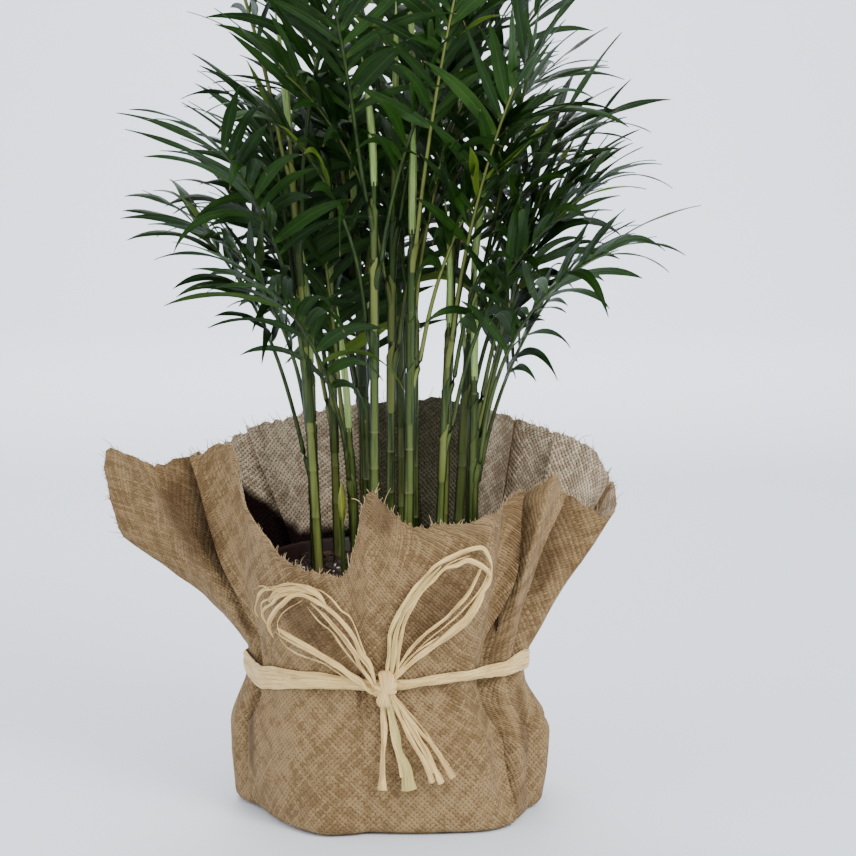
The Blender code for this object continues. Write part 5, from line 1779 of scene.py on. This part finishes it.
def grow_ribbon(bm, points, faces, half_width, rng, tone, first=1.0, last=1.0, closed=False):
    """One raffia strand: a thin ribbon, a little curled, uneven in width, that faces a direction per point.

    first and last are its ends' widths, as shares of the whole.
    """
    phase = rng.uniform(0, math.tau)
    twist = rng.uniform(-1, 1) * RIBBON_TWIST
    count = len(points)
    length = 0.0
    rings, marks = [], []
    for k, point in enumerate(points):
        if closed:
            ahead = (points[(k + 1) % count] - points[k - 1]).normalized()
        else:
            ahead = (points[min(k + 1, count - 1)] - points[max(k - 1, 0)]).normalized()
        length += (point - points[k - 1]).length if k else 0.0
        side = faces[k].cross(ahead).normalized()
        turn = 0.0 if closed else twist * math.sin(length * TWISTS + phase)
        side = Matrix.Rotation(turn, 3, ahead) @ side
        normal = ahead.cross(side).normalized()
        uneven = 1 + RIBBON_UNEVEN * noise.noise(Vector((length * UNEVEN_SCALE, phase, tone)))
        ends = 1 + (last - 1) * math.exp(-(points[-1] - point).length / RIBBON_TAPER)
        ends += (first - 1) * math.exp(-(points[0] - point).length / RIBBON_TAPER)
        half = half_width * uneven * ends
        upper, lower = [], []
        for x in RIBBON_ACROSS:
            draw = noise.noise(Vector((length * RIPPLE_SCALE, x * RIPPLE_ACROSS + phase, 3.0)))
            rise = RIBBON_CURL * half * (1 - x * x) + RIBBON_RIPPLE * draw
            upper.append(point + side * half * x + normal * (rise + RIBBON_THICKNESS))
            lower.append(point + side * half * x + normal * rise)
        rings.append(upper + lower[-2:0:-1])
        across = RIBBON_ACROSS + RIBBON_ACROSS[-2:0:-1]
        marks.append([(length, x * half, tone) for x in across])
    if closed:
        rings.append(rings[0])
        marks.append([(length + (points[0] - points[-1]).length, y, tone) for _, y, _ in marks[0]])
    sweep(bm, rings, marks, caps=not closed)


def tie_hull(rows):
    """The outline that a taut band takes round the folds at the tie, as its corners seen from above."""
    flat = [Vector((p.x, p.y)) for row in rows for p in row if abs(p.z - TIE_Z) < BAND_SPAN]
    return [flat[k] for k in geometry.convex_hull_2d(flat)]


def hull_radius(hull, direction):
    """How far a convex outline reaches in one direction from the middle."""
    found = []
    for start, end in zip(hull, hull[1:] + hull[:1]):
        normal = Vector((end.y - start.y, start.x - end.x))
        across = normal.dot(direction)
        if across * normal.dot(start) > 0 and abs(across) > LEAST_SLOPE:
            found.append(normal.dot(start) / across)
    return min(found)


def spread_value(values, azimuth):
    """A band number between the ones given at equal steps of azimuth from the front."""
    place = (azimuth % 360) / 360 * len(values)
    return curve_value(values, place)


def build_band(hull):
    """The raffia round the wrap: a few flat strands side by side, bunched at the knot."""
    rng = random.Random(LOOKS_SEED + 2)
    bm = new_form()
    for share, half_width, proud, tone in BAND_STRANDS:
        points, faces = [], []
        phase = rng.uniform(0, math.tau)
        for k in range(BAND_STEPS):
            azimuth = 360 * k / BAND_STEPS
            direction = outward(azimuth)
            radius = hull_radius(hull, Vector((direction.x, direction.y))) + proud * MM
            rise = spread_value(BAND_RISE, azimuth) + share * spread_value(BAND_SPREAD, azimuth)
            z = TIE_Z + rise * MM + BAND_WAVER * math.sin(BAND_WAVES * math.radians(azimuth) + phase)
            points.append(direction * radius + UP * z)
            faces.append(direction)
        grow_ribbon(bm, points, faces, half_width * MM, rng, tone, closed=True)
    return place_form("raffia_tie", bm, [raffia_material()], ["raffia_band"])


def build_knot():
    """The knot: strands wrapped tightly round the band's crossing."""
    rng = random.Random(LOOKS_SEED + 3)
    centre = knot_centre()
    bm = new_form()
    layer = bm.verts.layers.float_vector["pattern"]
    bmesh.ops.create_icosphere(bm, subdivisions=4, radius=0.5)
    for vert in bm.verts:
        uneven = 1 + KNOT_UNEVEN * noise.noise(vert.co * KNOT_LUMPS)
        vert.co = Vector([part * size for part, size in zip(vert.co, KNOT_SIZE)]) * uneven
        vert[layer] = (vert.co.x, vert.co.z, KNOT_TONE)
        vert.co += centre
    for lean, wide, high, half_width, tone in KNOT_WRAPS:
        points, faces = [], []
        turn = Matrix.Rotation(math.radians(lean), 3, "Y")
        for k in range(KNOT_STEPS):
            angle = 2 * math.pi * k / KNOT_STEPS
            face = Vector((0, -math.cos(angle), math.sin(angle)))
            offset = Vector((wide * math.sin(angle * 2) * KNOT_WAVE,
                             -math.cos(angle) * KNOT_SIZE[1] * KNOT_DEPTH, math.sin(angle) * high))
            points.append(centre + turn @ offset)
            faces.append(turn @ face)
        grow_ribbon(bm, points, faces, half_width * MM, rng, tone, closed=True)
    return place_form("raffia_knot_wraps", bm, [raffia_material()], ["raffia_knot"])


def build_bow(surface):
    """The bow's loops and tails, strand by strand, over the front of the wrap."""
    rng = random.Random(LOOKS_SEED + 4)
    front = Vector((0, -1, 0))
    made = raffia_material()
    loop_tips, tail_tips = (LOOP_TIP, LOOP_TIP), (1.0, TAIL_TIP)
    parts = [("left", "loop_left", LEFT_LOOP, loop_tips), ("right", "loop_right", RIGHT_LOOP, loop_tips)]
    parts += [(f"tail_{k}", f"tail_{k}", strands, tail_tips) for k, strands in enumerate(TAILS, 1)]
    for name, solid, strands, tips in parts:
        bm = new_form()
        for half_width, proud, tone, route in strands:
            points = lay_route(surface, route, proud * MM, rng)
            grow_ribbon(bm, points, [front] * len(points), half_width * MM, rng, tone, *tips)
        place_form(f"bow_{name}", bm, [made], [f"raffia_{solid}"])


def raffia_material():
    """Dry raffia: straw-coloured with fine fibres along it, and some strands greenish."""
    made, tree = start_material("raffia", roughness=0.55, sheen=0.1)
    vector, _, _, tone = pattern_axes(tree)
    fibre = noise_value(tree, stretched(tree, vector, FIBRES), 1.0, detail=4.0)
    patch = noise_value(tree, stretched(tree, vector, RAFFIA_PATCHES), 1.0, detail=2.0)
    straw = covered(tree, RAFFIA_DARK, fibre, STRAW_ENDS, RAFFIA_LIGHT)
    straw = covered(tree, straw, patch, BROWN_ENDS, RAFFIA_BROWN, BROWN_MOST)
    green = covered(tree, RAFFIA_OLIVE, fibre, OLIVE_ENDS, RAFFIA_GREEN)
    return end_material(made, covered(tree, straw, tone, GREEN_ENDS, green), fibre, RAFFIA_BUMP)


def ring_at(bm, radius, height, sides):
    """Points of a level ring round the pot's axis."""
    return [bm.verts.new(outward(360 * i / sides) * radius + UP * height) for i in range(sides)]


def close_round(bm, rows):
    """Close a round body from its rings, bottom to top."""
    skin(bm, rows)
    bm.faces.new(rows[0][::-1])
    bm.faces.new(rows[-1])


def pot_radius(height):
    """The pot's outer radius at a height, under its rim."""
    share = (height - POT_FLOOR_Z) / (POT_TOP_Z - POT_FLOOR_Z)
    return POT_BASE_RADIUS + (POT_BODY_RADIUS - POT_BASE_RADIUS) * share


def pot_profile(inner_floor):
    """The pot's outline, radius and height, from the middle of its floor up, over its rim and back inside."""
    rim_z = POT_TOP_Z - POT_RIM_HEIGHT
    half = POT_WALL / 2
    rim = [(POT_RIM_RADIUS - half + half * math.cos(turn), POT_TOP_Z - half + half * math.sin(turn))
           for turn in (math.pi * k / RIM_STEPS for k in range(RIM_STEPS // 2 + 1))]
    inside = pot_radius(POT_TOP_Z) - POT_WALL
    profile = [(FLOOR_MIDDLE, POT_FLOOR_Z)]
    profile += [(POT_BASE_RADIUS + x, POT_FLOOR_Z + z) for x, z in POT_CORNER]
    profile.append((pot_radius(rim_z), rim_z))
    profile += [(POT_RIM_RADIUS + x, rim_z + z) for x, z in RIM_FOOT] + rim
    profile += [(inside + x, POT_TOP_Z + z) for x, z in RIM_INSIDE]
    return profile + [(pot_radius(inner_floor) - POT_WALL, inner_floor), (FLOOR_MIDDLE, inner_floor)]


def build_pot():
    """The nursery pot, with a rounded rim and drain holes."""
    inner_floor = POT_FLOOR_Z + POT_WALL
    bm = new_form()
    close_round(bm, [ring_at(bm, radius, z, POT_SIDES_FINE) for radius, z in pot_profile(inner_floor)])
    pot = place_form("nursery_pot_shell", bm, [pot_material()], ["nursery_pot"], sharp=35)
    for i in range(DRAIN_HOLES):
        drill(pot, outward(360 * i / DRAIN_HOLES) * DRAIN_CIRCLE, inner_floor)


def pot_material():
    """Brown plastic, dusty in patches."""
    made, tree = start_material("pot_plastic", roughness=0.42)
    place = object_place(tree)
    colour = covered(tree, POT_COLOUR, noise_value(tree, place, DUST_SCALE), DUST_ENDS, POT_DUST)
    return end_material(made, colour, noise_value(tree, place, GRAIN_SCALE), POT_BUMP)


def drill(pot, place, top):
    """Cut one drain hole through the pot's floor."""
    bm = bmesh.new()
    bmesh.ops.create_cone(bm, cap_ends=True, segments=DRAIN_SIDES, radius1=DRAIN_RADIUS,
                          radius2=DRAIN_RADIUS, depth=top * 2)
    mesh = bpy.data.meshes.new("drill")
    bm.to_mesh(mesh)
    bm.free()
    cutter = link_object("drill", mesh)
    cutter.location = place
    hole = pot.modifiers.new("hole", "BOOLEAN")
    hole.operation = "DIFFERENCE"
    hole.object = cutter
    hole.solver = "EXACT"
    bpy.context.view_layer.update()
    cut = bpy.data.meshes.new_from_object(pot.evaluated_get(bpy.context.evaluated_depsgraph_get()))
    pot.modifiers.clear()
    old = pot.data
    pot.data = cut
    bpy.data.meshes.remove(old)
    bpy.data.objects.remove(cutter)


def build_soil():
    """Dark potting soil with an uneven top, crumbs, bark and a few white perlite bits."""
    rng = random.Random(LOOKS_SEED + 5)
    low = POT_FLOOR_Z + POT_WALL + SOIL_CLEAR
    top = pot_radius(SOIL_TOP_Z) - POT_WALL - SOIL_CLEAR
    bm = new_form()
    rows = [ring_at(bm, pot_radius(low) - POT_WALL - SOIL_CLEAR, low, SOIL_SIDES),
            ring_at(bm, top, SOIL_TOP_Z - SOIL_EDGE, SOIL_SIDES)]
    for share in SOIL_RINGS:
        rows.append(ring_at(bm, top * share, 0, SOIL_SIDES))
        for vert in rows[-1]:
            vert.co.z = soil_height(vert.co, top)
    close_round(bm, rows)
    for kind, count, small, large in CRUMBS:
        for _ in range(count):
            place = outward(rng.uniform(0, 360)) * top * CRUMB_REACH * math.sqrt(rng.random())
            place.z = soil_height(place, top) + small * CRUMB_RISE
            add_crumb(bm, place, rng.uniform(small, large), kind, rng)
    place_form("potting_soil", bm, [soil_material(), perlite_material()], ["soil"], sharp=35)


def soil_height(place, top):
    """The height of the soil's uneven top at a place that has no height yet."""
    share = min(1.0, Vector((place.x, place.y)).length / top)
    lumps = sum(noise.noise(place * scale) * size for scale, size in SOIL_LUMPS)
    return SOIL_TOP_Z + SOIL_CROWN * (1 - share * share) + lumps


def add_crumb(bm, place, size, kind, rng):
    """One crumb of soil, bark or perlite."""
    turn = Matrix.Rotation(rng.uniform(0, math.tau), 4, "Z")
    turn = turn @ Matrix.Rotation(rng.uniform(0, CRUMB_TIP), 4, "X")
    wide, high = rng.uniform(*CRUMB_WIDTH), rng.uniform(*CRUMB_HEIGHT)
    shape = Matrix.Diagonal((size, size * wide, size * high, 1))
    found = bmesh.ops.create_icosphere(bm, subdivisions=1, radius=0.5,
                                       matrix=Matrix.Translation(place) @ turn @ shape)
    tone = rng.random()
    layer = bm.verts.layers.float_vector["pattern"]
    for vert in found["verts"]:
        vert[layer] = (0, 0, tone)
    for face in {face for vert in found["verts"] for face in vert.link_faces}:
        face.material_index = kind


def soil_material():
    """Dark brown crumbly soil."""
    made, tree = start_material("potting_soil", roughness=0.95)
    tone = pattern_axes(tree)[3]
    grain = noise_value(tree, object_place(tree), GRAIN_SCALE, detail=5.0)
    brown = covered(tree, SOIL_DARK, grain, GRAIN_ENDS, SOIL_LIGHT)
    return end_material(made, covered(tree, brown, tone, BARK_ENDS, SOIL_BARK), grain, SOIL_BUMP)


def perlite_material():
    """White perlite."""
    made, tree = start_material("perlite", roughness=0.9)
    grain = noise_value(tree, object_place(tree), PERLITE_SCALE)
    return end_material(made, blend_colours(tree, grain, PERLITE_DARK, PERLITE_LIGHT), grain, PERLITE_BUMP)


def build_floor():
    """The pale floor, which curves up far behind."""
    profile = [(-FLOOR_HALF, 0.0)]
    for k in range(COVE_STEPS + 1):
        turn = 0.5 * math.pi * k / COVE_STEPS
        profile.append((COVE_START + COVE_RADIUS * math.sin(turn), COVE_RADIUS * (1 - math.cos(turn))))
    profile.append((COVE_START + COVE_RADIUS, COVE_TOP))
    bm = bmesh.new()
    rows = [[bm.verts.new((x, y, z)) for x in (-FLOOR_HALF, FLOOR_HALF)] for y, z in profile]
    for low, high in zip(rows, rows[1:]):
        bm.faces.new((low[0], low[1], high[1], high[0]))
    made, _ = start_material("floor", roughness=0.55)
    made.node_tree.nodes["Principled BSDF"].inputs["Base Color"].default_value = FLOOR_COLOUR
    floor = mesh_object("floor", bm, [made])
    floor.location.z = -FLOOR_BELOW


def build_lights():
    """Soft lights and an even pale surrounding."""
    for name, place, aim, size, power in LIGHTS:
        lamp = bpy.data.lights.new(name, "AREA")
        lamp.shape = "DISK"
        lamp.size = size
        lamp.energy = power
        held = link_object(name, lamp)
        held.location = place
        held.rotation_euler = (Vector(aim) - Vector(place)).to_track_quat("-Z", "Y").to_euler()
    world = bpy.data.worlds.new("room")
    world.use_nodes = True
    sky = world.node_tree.nodes["Background"]
    sky.inputs["Color"].default_value = WORLD_COLOUR
    sky.inputs["Strength"].default_value = WORLD_STRENGTH
    bpy.context.scene.world = world


def build_camera():
    """The camera at the photo's angle."""
    lens = bpy.data.cameras.new("camera")
    lens.lens = CAMERA_LENS
    camera = link_object("camera", lens)
    camera.location = CAMERA_PLACE
    camera.rotation_euler = (math.radians(90 - CAMERA_DOWN), 0, 0)
    bpy.context.scene.camera = camera


def main():
    """Build every piece over the solids, and keep the size of both."""
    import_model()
    rows, surface = build_wrap()
    build_band(tie_hull(rows))
    build_knot()
    build_bow(surface)
    build_pot()
    build_soil()
    build_palms()
    build_shoot()
    build_floor()
    build_lights()
    build_camera()


main()
